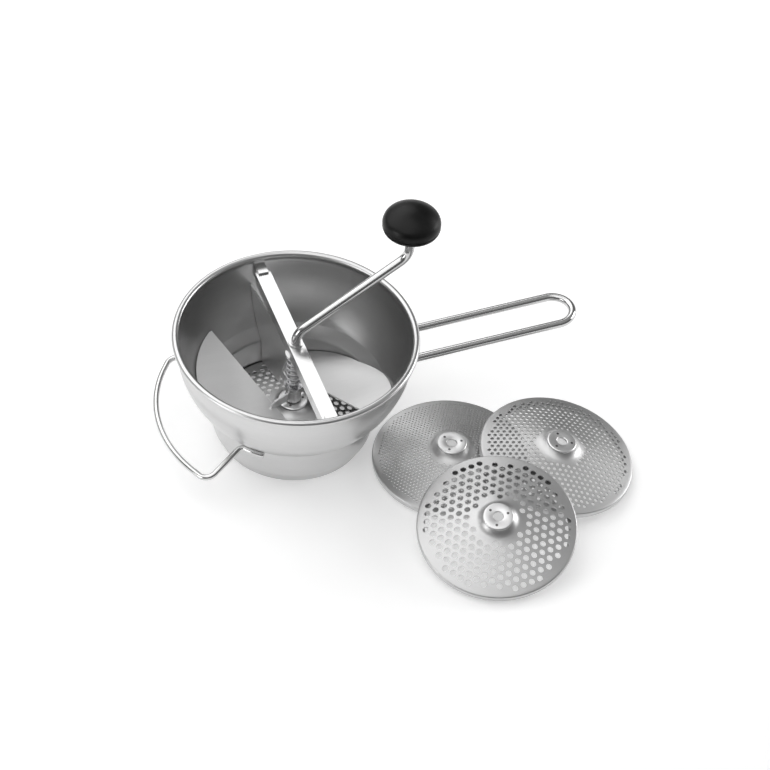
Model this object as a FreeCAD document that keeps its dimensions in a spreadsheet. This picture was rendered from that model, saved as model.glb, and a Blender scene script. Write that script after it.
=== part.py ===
import FreeCAD, Part
import Sketcher
import math
import os

# Food mill: a bowl with a sieve disc in its foot, a cranked blade under a sprung crossbar,
# and three spare discs beside it. Millimetres. +X runs along the long handle and +Z is up.
# The origin is the centre of the foot ring, on the table.

os.makedirs("parts", exist_ok=True)
doc = FreeCAD.newDocument("food_mill")
Vector = FreeCAD.Vector
UP = Vector(0, 0, 1)

SIZES = {
    # bowl
    "wall": 1.0,
    "foot_radius": 62.5,
    "foot_height": 11.0,
    "skirt_low_radius": 67.6,
    "skirt_top_radius": 70.0,
    "skirt_height": 38.0,
    "shoulder_radius": 79.0,
    "shoulder_height": 47.0,
    "bowl_radius": 99.0,
    "bowl_height": 102.0,
    "bowl_curve": 92.0,
    "bead_radius": 3.0,
    "bead_rise": 5.0,
    "bead_offset": 0.5,
    "bead_bury": 1.8,
    "inside_lift": 0.4,
    "corner_round": 1.6,
    # long handle
    "handle_rod": 3.5,
    "handle_half_width": 16.5,
    "handle_reach": 252.0,
    "handle_height": 69.0,
    "handle_rise": 2.0,
    "weld_gap": 0.05,
    # front handle
    "wire_radius": 2.6,
    "wire_arc_radius": 115.0,
    "wire_arc_height": 29.0,
    "wire_half_span": 39.5,
    "wire_centre": 175.0,
    "wire_foot_span": 15.0,
    "wire_leg_splay": 3.0,
    "wire_bend": 9.0,
    "wire_foot_bend": 5.0,
    # crossbar and its lugs
    "bar_width": 13.0,
    "bar_depth": 11.0,
    "bar_sheet": 1.2,
    "bar_drop": 2.5,
    "bar_end_gap": 4.0,
    "lug_lean": 3.0,
    "lug_width": 8.5,
    "lug_reach": 12.0,
    "lug_sheet": 1.5,
    "lug_drop": 12.0,
    "hook_gap": 0.3,
    "fit_gap": 0.05,
    "cut_over": 1.0,
    # shaft line
    "shaft_radius": 4.0,
    "run_gap": 0.1,
    "press_gap": 0.02,
    "bush_wall": 0.9,
    "bush_collar": 6.2,
    "bush_collar_height": 1.2,
    "bush_seat": 8.2,
    "bush_seat_height": 1.6,
    "collar_radius": 7.0,
    "collar_height": 4.0,
    "washer_radius": 8.2,
    "washer_height": 1.2,
    "seat_gap": 0.3,
    "spring_radius": 6.4,
    "spring_wire": 0.8,
    "spring_turns": 6.0,
    # crank and knob
    "crank_angle": 4.0,
    "crank_radius": 98.0,
    "crank_bend": 15.0,
    "crank_arm_angle": 30.0,
    "crank_rise_start": 1.0,
    "post_radius": 3.0,
    "post_length": 20.0,
    "knob_rise": 85.5,
    "knob_neck_radius": 8.0,
    "knob_radius": 24.0,
    "knob_seam_rise": 16.0,
    "knob_height": 33.0,
    "knob_wall": 2.6,
    "knob_flare": 22.0,
    "knob_edge": 4.0,
    "knob_cheek": 9.0,
    "knob_neck_rise": 6.0,
    "knob_neck_draft": 0.8,
    "knob_lip": 4.0,
    "knob_lip_inset": 1.2,
    "knob_roof": 6.0,
    "knob_roof_fall": 1.0,
    "knob_shoulder": 4.0,
    "knob_crown_rise": 7.0,
    "knob_washer_height": 0.8,
    "nut_height": 1.6,
    # sieve discs
    "disc_radius": 66.0,
    "disc_sheet": 1.0,
    "disc_corner": 1.5,
    "disc_bore_gap": 1.5,
    "tab_height": 3.5,
    "tab_width": 15.0,
    "lip_width": 7.2,
    "tab_inset": 5.3,
    "tab_sheet": 1.2,
    "tab_count": 6.0,
    "rim_height": 5.5,
    "cone_height": 11.0,
    "neck_radius": 18.0,
    "neck_height": 4.0,
    "hub_radius": 12.5,
    "hub_height": 2.0,
    "hole_margin": 3.0,
    "mill_hole": 4.4,
    "mill_pitch": 20.0,
    "fine_hole": 1.6,
    "fine_pitch": 20.0,
    "medium_hole": 3.0,
    "medium_pitch": 20.0,
    "coarse_hole": 5.0,
    "coarse_pitch": 17.0,
    # blade and scraper
    "blade_sheet": 1.5,
    "blade_gap": 1.0,
    "blade_boss_radius": 6.5,
    "blade_boss_height": 12.0,
    "blade_chord": 20.0,
    "blade_slope": 17.0,
    "blade_level": 36.0,
    "blade_angle": 203.0,
    "blade_trail": 42.0,
    "web_height": 8.0,
    "scraper_angle": 95.0,
    "scraper_sheet": 1.2,
    "scraper_clear": 6.0,
    "scraper_foot": 32.0,
    "scraper_head": 12.0,
    "scraper_waist": 23.0,
    "scraper_toe": 27.0,
    "tongue_lift": 2.0,
    # spare discs on the table
    "fine_x": 114.0,
    "fine_y": -79.0,
    "medium_x": 196.0,
    "medium_y": -110.0,
    "coarse_x": 119.0,
    "coarse_y": -173.0,
    "lie_gap": 0.4,
    "lean_limit": 30.0,
}


class Size:
    """A length together with the sheet formula that gives it."""

    def __init__(self, value, formula):
        self.value = value
        self.formula = formula

    def _join(self, other, sign, value):
        text = other.formula if isinstance(other, Size) else repr(float(other))
        return Size(value, "(%s %s %s)" % (self.formula, sign, text))

    def __add__(self, other):
        return self._join(other, "+", self.value + number(other))

    def __sub__(self, other):
        return self._join(other, "-", self.value - number(other))

    def __mul__(self, other):
        return self._join(other, "*", self.value * number(other))

    def __truediv__(self, other):
        return self._join(other, "/", self.value / number(other))


def number(size):
    """The plain number of a Size or of a number."""
    return size.value if isinstance(size, Size) else float(size)


sheet = doc.addObject("Spreadsheet::Sheet", "Sizes")
for row, (alias, size) in enumerate(SIZES.items(), start=1):
    sheet.set("A%d" % row, alias)
    sheet.set("B%d" % row, str(size))
    sheet.setAlias("B%d" % row, alias)
doc.recompute()
D = {alias: Size(float(sheet.get(alias)), "Sizes." + alias) for alias in SIZES}
N = {alias: size.value for alias, size in D.items()}
ZERO = Size(0.0, "0")

# Heights and radii that several pieces share.
ledge = D["foot_height"]
disc_base = ledge - D["tab_height"]
edge_top = D["tab_height"] + D["rim_height"]
cone_top = edge_top + D["cone_height"]
hub_seat = cone_top + D["neck_height"]
hub_top = hub_seat + D["hub_height"]
mill_hub_top = disc_base + hub_top
bead_height = D["bowl_height"] + D["bead_rise"]
bar_top = D["bowl_height"] - D["bar_drop"]
bar_under = bar_top - D["bar_depth"]
scraper_top = bar_under - D["scraper_clear"]
knob_bottom = bar_top + D["knob_rise"]
knob_split = knob_bottom + D["knob_seam_rise"]
knob_top = knob_bottom + D["knob_height"]
collar_bottom = mill_hub_top + D["blade_gap"] + D["blade_boss_height"]
washer_bottom = collar_bottom + D["collar_height"] + D["run_gap"]
washer_top = washer_bottom + D["washer_height"]
bush_bottom = bar_under - D["bush_seat_height"]
bore_radius = D["shaft_radius"] + D["run_gap"]
rim_radius = D["bowl_radius"] + D["bead_radius"] + D["bead_offset"]


def plane(body, role):
    """One of a body's own origin planes."""
    return [item for item in body.Origin.OriginFeatures if item.Role == role][0]


def new_body(label):
    """An empty body under the sub-part's name."""
    body = doc.addObject("PartDesign::Body", label)
    body.Label = label
    return body


def arc_between(start, end, radius):
    """Arc from start to end, bulging to the right of the way for a positive radius."""
    chord = end - start
    half = chord.Length / 2
    side = Vector(-chord.y, chord.x, 0).normalize()
    lift = math.sqrt(max(radius * radius - half * half, 0.0))
    centre = (start + end) * 0.5 + side * math.copysign(lift, radius)
    first = math.atan2(start.y - centre.y, start.x - centre.x)
    last = math.atan2(end.y - centre.y, end.x - centre.x)
    circle = Part.Circle(centre, UP, abs(radius))
    if radius > 0:
        return Part.ArcOfCircle(circle, first, last), 1, 2
    return Part.ArcOfCircle(circle, last, first), 2, 1


def pin(sketch, geometry, point, x, y):
    """Hold a sketch point at sheet sizes measured from the sketch's origin."""
    for name, axis, size in (("DistanceX", -2, x), ("DistanceY", -1, y)):
        if abs(number(size)) < 1e-9:
            sketch.addConstraint(Sketcher.Constraint("PointOnObject", geometry, point, axis))
            continue
        index = sketch.addConstraint(Sketcher.Constraint(name, -1, 1, geometry, point, number(size)))
        if isinstance(size, Size):
            sketch.setExpression("Constraints[%d]" % index, size.formula)


def outline(body, name, role, corners, arcs=None):
    """Closed outline on an origin plane; arcs gives a side's radius and bulge, 1 right or -1 left."""
    arcs = arcs or {}
    sketch = body.newObject("Sketcher::SketchObject", name)
    sketch.AttachmentSupport = [(plane(body, role), "")]
    sketch.MapMode = "FlatFace"
    points = [Vector(number(x), number(y), 0) for x, y in corners]
    ends = []
    for side, start in enumerate(points):
        end = points[(side + 1) % len(points)]
        if side in arcs:
            radius, bulge = arcs[side]
            curve, first, last = arc_between(start, end, number(radius) * bulge)
        else:
            curve, first, last = Part.LineSegment(start, end), 1, 2
        sketch.addGeometry(curve, False)
        ends.append((first, last))
    for side in range(len(points)):
        following = (side + 1) % len(points)
        sketch.addConstraint(
            Sketcher.Constraint("Coincident", side, ends[side][1], following, ends[following][0]))
    for side, (x, y) in enumerate(corners):
        pin(sketch, side, ends[side][0], x, y)
    for side, (radius, bulge) in arcs.items():
        index = sketch.addConstraint(Sketcher.Constraint("Radius", side, number(radius)))
        if isinstance(radius, Size):
            sketch.setExpression("Constraints[%d]" % index, radius.formula)
    return sketch


def revolve(body, name, corners, arcs=None, kind="Revolution"):
    """Turn an outline in the body's XZ plane about Z."""
    return turn(body, name, outline(body, name + "_outline", "XZ_Plane", corners, arcs), kind)


def turn(body, name, sketch, kind="Revolution"):
    """Turn a sketch about its upright axis."""
    turned = body.newObject("PartDesign::" + kind, name)
    turned.Profile = sketch
    turned.ReferenceAxis = (sketch, ["V_Axis"])
    turned.Angle = 360
    doc.recompute()
    return turned


def ring(label, inner, outer, bottom, top):
    """A plain turned ring."""
    body = new_body(label)
    revolve(body, label + "_turn", [(inner, bottom), (outer, bottom), (outer, top), (inner, top)])
    return body


def round_edges(body, circles, radius):
    """Round the circular edges at the given radii and heights."""
    base = body.Tip
    names = []
    for index, edge in enumerate(base.Shape.Edges, start=1):
        if not isinstance(edge.Curve, Part.Circle):
            continue
        for wanted, height in circles:
            near = abs(edge.Curve.Radius - number(wanted)) < 1e-4
            if near and abs(edge.Curve.Center.z - number(height)) < 1e-4:
                names.append("Edge%d" % index)
    fillet = body.newObject("PartDesign::Fillet", body.Label + "_rounding")
    fillet.Base = (base, names)
    fillet.Radius = number(radius)
    fillet.setExpression("Radius", radius.formula)
    doc.recompute()


def rounded_path(points, bends):
    """A wire of straight runs joined by tangent arcs, one bend radius for each inner point."""
    edges = []
    start = points[0]
    for index in range(1, len(points) - 1):
        corner = points[index]
        inward = (points[index - 1] - corner).normalize()
        outward = (points[index + 1] - corner).normalize()
        turn = math.pi - inward.getAngle(outward)
        reach = bends[index - 1] * math.tan(turn / 2)
        first = corner + inward * reach
        last = corner + outward * reach
        middle_way = (inward + outward).normalize()
        middle = corner + middle_way * (bends[index - 1] * (1 / math.cos(turn / 2) - 1))
        if (first - start).Length > 1e-6:
            edges.append(Part.LineSegment(start, first).toShape())
        edges.append(Part.Arc(first, middle, last).toShape())
        start = last
    if (points[-1] - start).Length > 1e-6:
        edges.append(Part.LineSegment(start, points[-1]).toShape())
    return Part.Wire(edges)


def sweep(label, wire, radius):
    """A round bar of a sheet radius along a wire."""
    path = doc.addObject("Part::Feature", label + "_path")
    path.Shape = wire
    section = doc.addObject("Part::Circle", label + "_section")
    section.setExpression("Radius", radius.formula)
    first = wire.OrderedEdges[0]
    way = first.tangentAt(first.FirstParameter)
    section.Placement = FreeCAD.Placement(first.valueAt(first.FirstParameter), FreeCAD.Rotation(UP, way))
    bar = doc.addObject("Part::Sweep", label + "_bar")
    bar.Sections = [section]
    bar.Spine = (path, ["Edge%d" % (index + 1) for index in range(len(path.Shape.Edges))])
    bar.Solid = True
    bar.Frenet = False
    doc.recompute()
    return bar


def cut(label, base, tool):
    """Base less tool, under the sub-part's name."""
    result = doc.addObject("Part::Cut", label)
    result.Label = label
    result.Base = base
    result.Tool = tool
    doc.recompute()
    return result


def polar(radius, degrees, height):
    """A point at a radius and an angle about the mill's axis."""
    angle = math.radians(degrees)
    return Vector(radius * math.cos(angle), radius * math.sin(angle), height)


def spin(degrees):
    """A turn about the mill's axis."""
    return FreeCAD.Placement(Vector(0, 0, 0), FreeCAD.Rotation(UP, degrees))


# Bowl: one drawn sheet from the foot ring to the rolled rim.
def bowl_outside(gap):
    """Corners of the outer face from the foot to the rim, set off by a gap, and the side that curves."""
    return [
        (D["foot_radius"] + gap, ledge - D["wall"] - gap),
        (D["skirt_low_radius"] + gap, ledge - D["wall"] - gap),
        (D["skirt_top_radius"] + gap, D["skirt_height"]),
        (D["shoulder_radius"] + gap, D["shoulder_height"]),
        (D["bowl_radius"] + gap, D["bowl_height"]),
    ]


def make_bowl():
    """The bowl's sheet, then its rolled bead, then the soft corners of the drawing."""
    wall = D["wall"]
    body = new_body("bowl")
    outside = bowl_outside(ZERO)
    rise = bead_height - D["bead_bury"]
    corners = [(D["foot_radius"], ZERO)] + outside + [
        (D["bowl_radius"], rise),
        (D["bowl_radius"] - wall, rise),
        (D["bowl_radius"] - wall, D["bowl_height"]),
        (D["shoulder_radius"] - wall, D["shoulder_height"] + D["inside_lift"]),
        (D["skirt_top_radius"] - wall, D["skirt_height"] + D["inside_lift"]),
        (D["skirt_low_radius"] - wall, ledge),
        (D["foot_radius"] - wall, ledge),
        (D["foot_radius"] - wall, ZERO),
    ]
    revolve(body, "bowl_sheet", corners, {4: (D["bowl_curve"], 1), 8: (D["bowl_curve"] - wall, -1)})
    bead = body.newObject("Sketcher::SketchObject", "bowl_bead_outline")
    bead.AttachmentSupport = [(plane(body, "XZ_Plane"), "")]
    bead.MapMode = "FlatFace"
    centre = rim_radius - D["bead_radius"]
    middle = Vector(number(centre), number(bead_height), 0)
    bead.addGeometry(Part.Circle(middle, UP, N["bead_radius"]), False)
    pin(bead, 0, 3, centre, bead_height)
    index = bead.addConstraint(Sketcher.Constraint("Radius", 0, N["bead_radius"]))
    bead.setExpression("Constraints[%d]" % index, D["bead_radius"].formula)
    turn(body, "bowl_bead", bead)
    round_edges(body, [
        (D["foot_radius"], ledge - wall),
        (D["skirt_low_radius"], ledge - wall),
        (D["shoulder_radius"], D["shoulder_height"]),
    ], D["corner_round"])
    return body


def bowl_core(label, gap):
    """The solid that fills the bowl to its outer face and a gap, for trimming what is welded on."""
    body = new_body(label)
    corners = [(ZERO, ledge - D["wall"] - gap)] + bowl_outside(gap) + [(ZERO, D["bowl_height"])]
    revolve(body, label + "_turn", corners, {4: (D["bowl_curve"] + gap, 1)})
    return body


# Long handle: one rod bent to a loop, both ends welded to the bowl.
def make_long_handle():
    """The loop is swept level, raised by its own slope and trimmed to the wall."""
    half = N["handle_half_width"]
    slope = math.tan(math.radians(N["handle_rise"]))
    reach = N["handle_reach"] - N["handle_rod"]

    def at(x, y):
        return Vector(x, y, N["handle_height"] + slope * (x - N["bowl_radius"]))

    inside = N["shoulder_radius"]
    points = [at(inside, half), at(reach, half), at(reach, -half), at(inside, -half)]
    loop = sweep("long_handle", rounded_path(points, [half, half]), D["handle_rod"])
    return cut("long_handle", loop, bowl_core("long_handle_seat", D["weld_gap"]))


# Front handle: a wire loop with two feet welded under the shoulder.
def make_front_handle():
    """A level arc about the bowl, two legs to the shoulder, and feet that run along it."""
    inner = N["skirt_top_radius"] + (N["shoulder_radius"] - N["skirt_top_radius"]) / 2
    lean = math.atan2(N["shoulder_height"] - N["skirt_height"], N["shoulder_radius"] - N["skirt_top_radius"])
    away = N["wire_radius"] + N["weld_gap"]
    foot_radius = inner + away * math.sin(lean)
    foot_height = (N["skirt_height"] + N["shoulder_height"]) / 2 - away * math.cos(lean)
    half = N["wire_half_span"]
    centre = N["wire_centre"]
    arc_count = 6
    step = 2 * half / (arc_count - 1)
    across = N["wire_arc_radius"] / math.cos(math.radians(step / 2))
    arc = [polar(across, centre - half + step * index, N["wire_arc_height"]) for index in range(arc_count)]
    foot_bend = half + N["wire_leg_splay"]
    foot_step = N["wire_foot_span"] / 2
    outer_foot = foot_radius / math.cos(math.radians(foot_step))

    def foot(side):
        return [
            polar(foot_radius, centre + side * (foot_bend + 2 * foot_step), foot_height),
            polar(outer_foot, centre + side * (foot_bend + foot_step), foot_height),
            polar(foot_radius, centre + side * foot_bend, foot_height),
        ]

    points = foot(-1) + arc + foot(1)[::-1]
    bend = N["wire_bend"]
    foot_bends = [foot_radius / 2, N["wire_foot_bend"], bend]
    bends = foot_bends + [N["wire_arc_radius"]] * (arc_count - 2) + foot_bends[::-1]
    wire = sweep("front_handle", rounded_path(points, bends), D["wire_radius"])
    return cut("front_handle", wire, bowl_core("front_handle_seat", D["weld_gap"]))


# Crossbar: a pressed channel that spans the bowl and hooks under two lugs.
def make_crossbar():
    """A channel section padded along Y, trimmed round to the bowl and bored for the bush."""
    body = new_body("crossbar")
    half = D["bar_width"] * 0.5
    inner = half - D["bar_sheet"]
    web = bar_top - D["bar_sheet"]
    section = outline(body, "bar_section", "XZ_Plane", [
        (half * -1, bar_under), (inner * -1, bar_under), (inner * -1, web), (inner, web),
        (inner, bar_under), (half, bar_under), (half, bar_top), (half * -1, bar_top)])
    pad = body.newObject("PartDesign::Pad", "bar_pad")
    pad.Profile = section
    pad.Midplane = True
    pad.Length = 2 * N["bowl_radius"]
    pad.setExpression("Length", (D["bowl_radius"] * 2).formula)
    doc.recompute()
    end = D["bowl_radius"] - D["wall"] - D["lug_lean"] - D["lug_sheet"] - D["bar_end_gap"]
    low = end - D["bar_depth"] * 0.5
    far = D["bowl_radius"] + D["bar_width"]
    below = bar_under - D["cut_over"]
    above = bar_top + D["cut_over"]
    middle = bar_under + D["bar_depth"] * 0.5
    revolve(body, "bar_ends", [
        (low, below), (far, below), (far, above), (end, above), (end, middle)], kind="Groove")
    bush_hole = bore_radius + D["bush_wall"]
    start = web - D["cut_over"]
    revolve(body, "bar_bore", [
        (ZERO, start), (bush_hole, start), (bush_hole, above), (ZERO, above)], kind="Groove")
    return body


def make_lug(label, degrees):
    """An angle of sheet welded to the bowl's wall, with a tongue over the bar's end."""
    body = new_body(label)
    under = bar_top + D["hook_gap"]
    over = under + D["lug_sheet"]
    wall_face = D["bowl_radius"] - D["wall"] - D["weld_gap"]
    leg = wall_face - D["lug_lean"] - D["lug_sheet"]
    behind = wall_face + D["cut_over"]
    tip = wall_face - D["lug_reach"]
    bottom = under - D["lug_drop"]
    face = outline(body, label + "_side", "XZ_Plane", [
        (leg, bottom), (behind, bottom), (behind, over), (tip, over), (tip, under), (leg, under)])
    pad = body.newObject("PartDesign::Pad", label + "_pad")
    pad.Profile = face
    pad.Midplane = True
    pad.Length = N["lug_width"]
    pad.setExpression("Length", D["lug_width"].formula)
    doc.recompute()
    inner_curve = D["bowl_curve"] - D["wall"]
    outside = D["bowl_radius"] + D["lug_reach"]
    revolve(body, label + "_fit", [
        (D["shoulder_radius"] - D["wall"] - D["weld_gap"], D["shoulder_height"] + D["inside_lift"]),
        (outside, D["shoulder_height"]), (outside, D["bowl_height"]),
        (wall_face, D["bowl_height"])], {3: (inner_curve, -1)}, "Groove")
    body.Placement = spin(degrees)
    return body


# Shaft line: bush, spring, washer and collar.
def make_bush():
    """A sleeve through the bar with a collar on top and a seat for the spring below."""
    body = new_body("bar_bush")
    bore = bore_radius
    tube = bore + D["bush_wall"] - D["fit_gap"]
    seat_top = bar_under - D["fit_gap"]
    top = bar_top + D["fit_gap"]
    revolve(body, "bush_turn", [
        (bore, bush_bottom), (D["bush_seat"], bush_bottom), (D["bush_seat"], seat_top), (tube, seat_top),
        (tube, top), (D["bush_collar"], top), (D["bush_collar"], top + D["bush_collar_height"]),
        (bore, top + D["bush_collar_height"])])
    return body


def biarc(start, start_way, end, end_way):
    """Two arcs that join two points with the given directions."""
    span = end - start
    ways = start_way + end_way
    spread = 2 * (1 - start_way.dot(end_way))
    along = span.dot(ways)
    reach = (-along + math.sqrt(along * along + spread * span.dot(span))) / spread
    middle = (start + start_way * reach + end - end_way * reach) * 0.5

    def crest(first, last, way):
        chord = last - first
        line = Vector(chord).normalize()
        bulge = (way - line * way.dot(line)).normalize()
        height = chord.Length / 2 * math.tan(way.getAngle(chord) / 2)
        return (first + last) * 0.5 + bulge * height

    return [
        Part.Arc(start, crest(start, middle, start_way), middle).toShape(),
        Part.Arc(middle, crest(end, middle, end_way * -1), end).toShape(),
    ]


def make_spring():
    """An open coil between the washer and the bush, in biarcs of a quarter turn with straight ends."""
    radius = N["spring_radius"]
    wire = N["spring_wire"]
    low = number(washer_top) + wire + N["seat_gap"]
    high = number(bush_bottom) - wire - N["seat_gap"]
    quarters = int(round(N["spring_turns"] * 4))
    pitch = (high - low) / N["spring_turns"]

    def place(index):
        angle = math.pi / 2 * index
        return Vector(radius * math.cos(angle), radius * math.sin(angle), low + pitch * index / 4)

    def way(index):
        angle = math.pi / 2 * index
        return Vector(-radius * math.sin(angle), radius * math.cos(angle), pitch / (2 * math.pi)).normalize()

    edges = []
    for index in range(quarters):
        first, second = biarc(place(index), way(index), place(index + 1), way(index + 1))
        edges.append(first)
        edges.append(second)
    lead = way(0) * (-2 * wire)
    tail = way(quarters) * (2 * wire)
    edges.insert(0, Part.LineSegment(place(0) + lead, place(0)).toShape())
    edges.append(Part.LineSegment(place(quarters), place(quarters) + tail).toShape())
    print("spring least gap between turns %.2f mm" % (pitch - 2 * wire))
    coil = sweep("spring", Part.Wire(edges), D["spring_wire"])
    coil.Label = "spring"
    return coil


# Crank rod: shaft, arm and post bent from one bar, with a thinner spigot for the knob.
def make_crank_rod():
    """The bent bar runs from the disc's hub to the post, and the spigot carries on into the knob."""
    arm = math.radians(N["crank_arm_angle"])
    bottom = number(disc_base + hub_seat) - N["hub_height"]
    first = number(bar_top) + N["bush_collar_height"] + N["crank_rise_start"]
    low = Vector(0, 0, first + N["crank_bend"] * math.tan((math.pi / 2 - arm) / 2))
    high = low + Vector(N["crank_radius"], 0, N["crank_radius"] * math.tan(arm))
    top = Vector(N["crank_radius"], 0, number(knob_bottom) - N["seat_gap"])
    bend = N["crank_bend"]
    turned = spin(N["crank_angle"])
    points = [turned.multVec(point) for point in (Vector(0, 0, bottom), low, high, top)]
    bar = sweep("crank_bar", rounded_path(points, [bend, bend]), D["shaft_radius"])
    spigot = doc.addObject("Part::Cylinder", "crank_spigot")
    spigot.setExpression("Radius", D["post_radius"].formula)
    spigot.Height = N["post_length"]
    spigot.setExpression("Height", D["post_length"].formula)
    spigot.Placement = FreeCAD.Placement(points[-1], FreeCAD.Rotation())
    rod = doc.addObject("Part::Fuse", "crank_rod")
    rod.Label = "crank_rod"
    rod.Base = bar
    rod.Tool = spigot
    doc.recompute()
    return rod


# Knob: a moulded mushroom in two halves, held on the spigot by a washer and a push nut.
def knob_place():
    """The post's axis, at the crank's angle."""
    return FreeCAD.Placement(polar(N["crank_radius"], N["crank_angle"], 0), FreeCAD.Rotation())


def make_knob():
    """Base with the neck, cap with the crown, and the two small fasteners between them."""
    bore = D["post_radius"] + D["run_gap"]
    wall = D["knob_wall"]
    split = knob_split
    bottom = knob_bottom
    radius = D["knob_radius"]
    neck = D["knob_neck_radius"]
    floor = split - wall
    base = new_body("knob_base")
    revolve(base, "knob_base_turn", [
        (bore, bottom), (neck, bottom), (neck + D["knob_neck_draft"], bottom + D["knob_neck_rise"]),
        (radius - D["knob_lip_inset"], split - D["knob_lip"]), (radius, split),
        (radius - wall, split), (neck + wall, floor), (bore, floor)],
        {2: (D["knob_flare"], -1), 3: (D["knob_edge"], 1)})
    cap = new_body("knob_cap")
    crown = knob_top
    roof = split + D["knob_roof"]
    seam = split + D["fit_gap"]
    shoulder = radius - D["knob_shoulder"]
    rise = D["knob_crown_rise"]
    dome = (shoulder * shoulder + rise * rise) / (rise * 2)
    revolve(cap, "knob_cap_turn", [
        (ZERO, roof), (radius * 0.5, roof - D["knob_roof_fall"]), (radius - wall, seam), (radius, seam),
        (shoulder, crown - rise), (ZERO, crown)],
        {3: (D["knob_cheek"], 1), 4: (dome, 1)})
    low = floor + D["fit_gap"]
    high = low + D["knob_washer_height"]
    washer = ring("knob_washer", bore, neck - D["knob_neck_draft"], low, high)
    nut_low = high + D["fit_gap"]
    nut = ring("knob_push_nut", D["post_radius"] + D["press_gap"], neck - D["knob_wall"] + D["press_gap"],
               nut_low, nut_low + D["nut_height"])
    for body in (base, cap, washer, nut):
        body.Placement = knob_place()
    return [base, cap, washer, nut]


# Sieve discs: pressed cones with a flanged rim, bayonet tabs, holes and a spot-welded hub plate.
def disc_outline():
    """Section of a disc's sheet from its hub seat over the cone to the lip under its rim."""
    sheet_size = D["disc_sheet"]
    radius = D["disc_radius"]
    bore = bore_radius + D["disc_bore_gap"]
    lip = radius - D["lip_width"]
    foot = D["tab_height"]
    corner = D["disc_corner"]
    return [
        (bore, hub_seat - sheet_size), (D["hub_radius"], hub_seat - sheet_size),
        (D["neck_radius"], cone_top - sheet_size), (radius - corner - sheet_size, edge_top - sheet_size),
        (radius - sheet_size, edge_top - corner - sheet_size), (radius - sheet_size, foot + sheet_size),
        (lip, foot + sheet_size), (lip, foot), (radius, foot), (radius, edge_top - corner),
        (radius - corner, edge_top), (D["neck_radius"], cone_top), (D["hub_radius"], hub_seat),
        (bore, hub_seat),
    ]


def hole_grid(hole, pitch):
    """Centres of a staggered grid of holes between the neck and the rim."""
    inner = N["neck_radius"] + hole / 2
    outer = N["disc_radius"] - N["hole_margin"] - hole / 2
    row_step = pitch * math.sqrt(3) / 2
    rows = int(outer / row_step) + 1
    centres = []
    for row in range(-rows, rows + 1):
        for column in range(-2 * rows, 2 * rows + 1):
            centre = Vector((column + 0.5 * (row % 2)) * pitch, row * row_step, 0)
            if inner < centre.Length < outer:
                centres.append(centre)
    return centres


def make_disc(name, placement):
    """One disc and its hub plate; each hole is a six-sided drift as wide as the drill."""
    sides = 6
    body = new_body(name + "_blank")
    revolve(body, name + "_sheet", disc_outline())
    width = D["tab_width"] * 0.5
    outer = D["disc_radius"] - D["tab_inset"]
    inner = outer - D["tab_sheet"]
    tab_face = outline(body, name + "_tab_face", "XY_Plane", [
        (inner, width * -1), (outer, width * -1), (outer, width), (inner, width)])
    tab = body.newObject("PartDesign::Pad", name + "_tab")
    tab.Profile = tab_face
    tab.setExpression("Length", (D["tab_height"] + D["disc_sheet"] * 0.5).formula)
    tabs = body.newObject("PartDesign::PolarPattern", name + "_tabs")
    tabs.Originals = [tab]
    tabs.Axis = (tab_face, ["N_Axis"])
    tabs.Angle = 360
    tabs.setExpression("Occurrences", D["tab_count"].formula)
    body.Tip = tabs
    doc.recompute()
    hole = N[name + "_hole"] / 2
    drifts = []
    for centre in hole_grid(2 * hole, N[name + "_pitch"]):
        ring_points = [centre + polar(hole, 360.0 / sides * side, 0) for side in range(sides + 1)]
        drifts.append(Part.Face(Part.makePolygon(ring_points)).extrude(UP * number(hub_top)))
    tool = doc.addObject("Part::Feature", name + "_drifts")
    tool.Shape = Part.makeCompound(drifts)
    lift = number(edge_top) - 2 * N["disc_corner"]
    tool.Placement = FreeCAD.Placement(Vector(0, 0, lift), FreeCAD.Rotation())
    disc = cut(name + "_disc", body, tool)
    hub = ring(name + "_disc_hub", bore_radius, D["hub_radius"], hub_seat, hub_top)
    disc.Placement = placement
    hub.Placement = placement
    return [disc, hub]


# Spare discs lie in a fan: each leans on the ones under it and stands on the table at its far side.
def surface_heights(radius):
    """Underside and top of a disc at a radius from its axis, in its own frame."""
    cone = (N["disc_radius"] - radius) / (N["disc_radius"] - N["neck_radius"])
    lip = N["disc_radius"] - N["lip_width"]
    if radius <= N["hub_radius"]:
        return number(hub_seat) - N["disc_sheet"], number(hub_top)
    if radius <= N["neck_radius"]:
        return number(cone_top) - N["disc_sheet"], number(hub_seat)
    top = number(edge_top) + N["cone_height"] * cone
    return (0.0 if radius >= lip else top - N["disc_sheet"]), top


def lean(x, y, degrees, degrees_up):
    """A disc at x, y with one side raised by an angle and the far side on the table."""
    axis = polar(1, degrees - 90, 0) * -1
    turned = FreeCAD.Rotation(axis, -degrees_up).multiply(FreeCAD.Rotation(UP, degrees + 180))
    low = (N["disc_radius"] - N["tab_inset"]) * math.sin(math.radians(degrees_up))
    return FreeCAD.Placement(Vector(x, y, low), turned)


def least_gap(upper, lower):
    """Least upright gap between an upper disc and a lower one, sampled on both."""
    gap = N["bowl_radius"]
    steps = 24
    turn_step = 6
    radii = [N["disc_radius"] * step / steps for step in range(steps + 1)]
    for mine, other, above in ((upper, lower, True), (lower, upper, False)):
        across = other.inverse().multiply(mine)
        for radius in radii:
            under, top = surface_heights(radius)
            for degrees in range(0, 360, turn_step):
                point = across.multVec(polar(radius, degrees, under if above else top))
                reach = math.hypot(point.x, point.y)
                if reach > N["disc_radius"]:
                    continue
                their_under, their_top = surface_heights(reach)
                gap = min(gap, point.z - their_top if above else their_under - point.z)
    return gap


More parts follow.
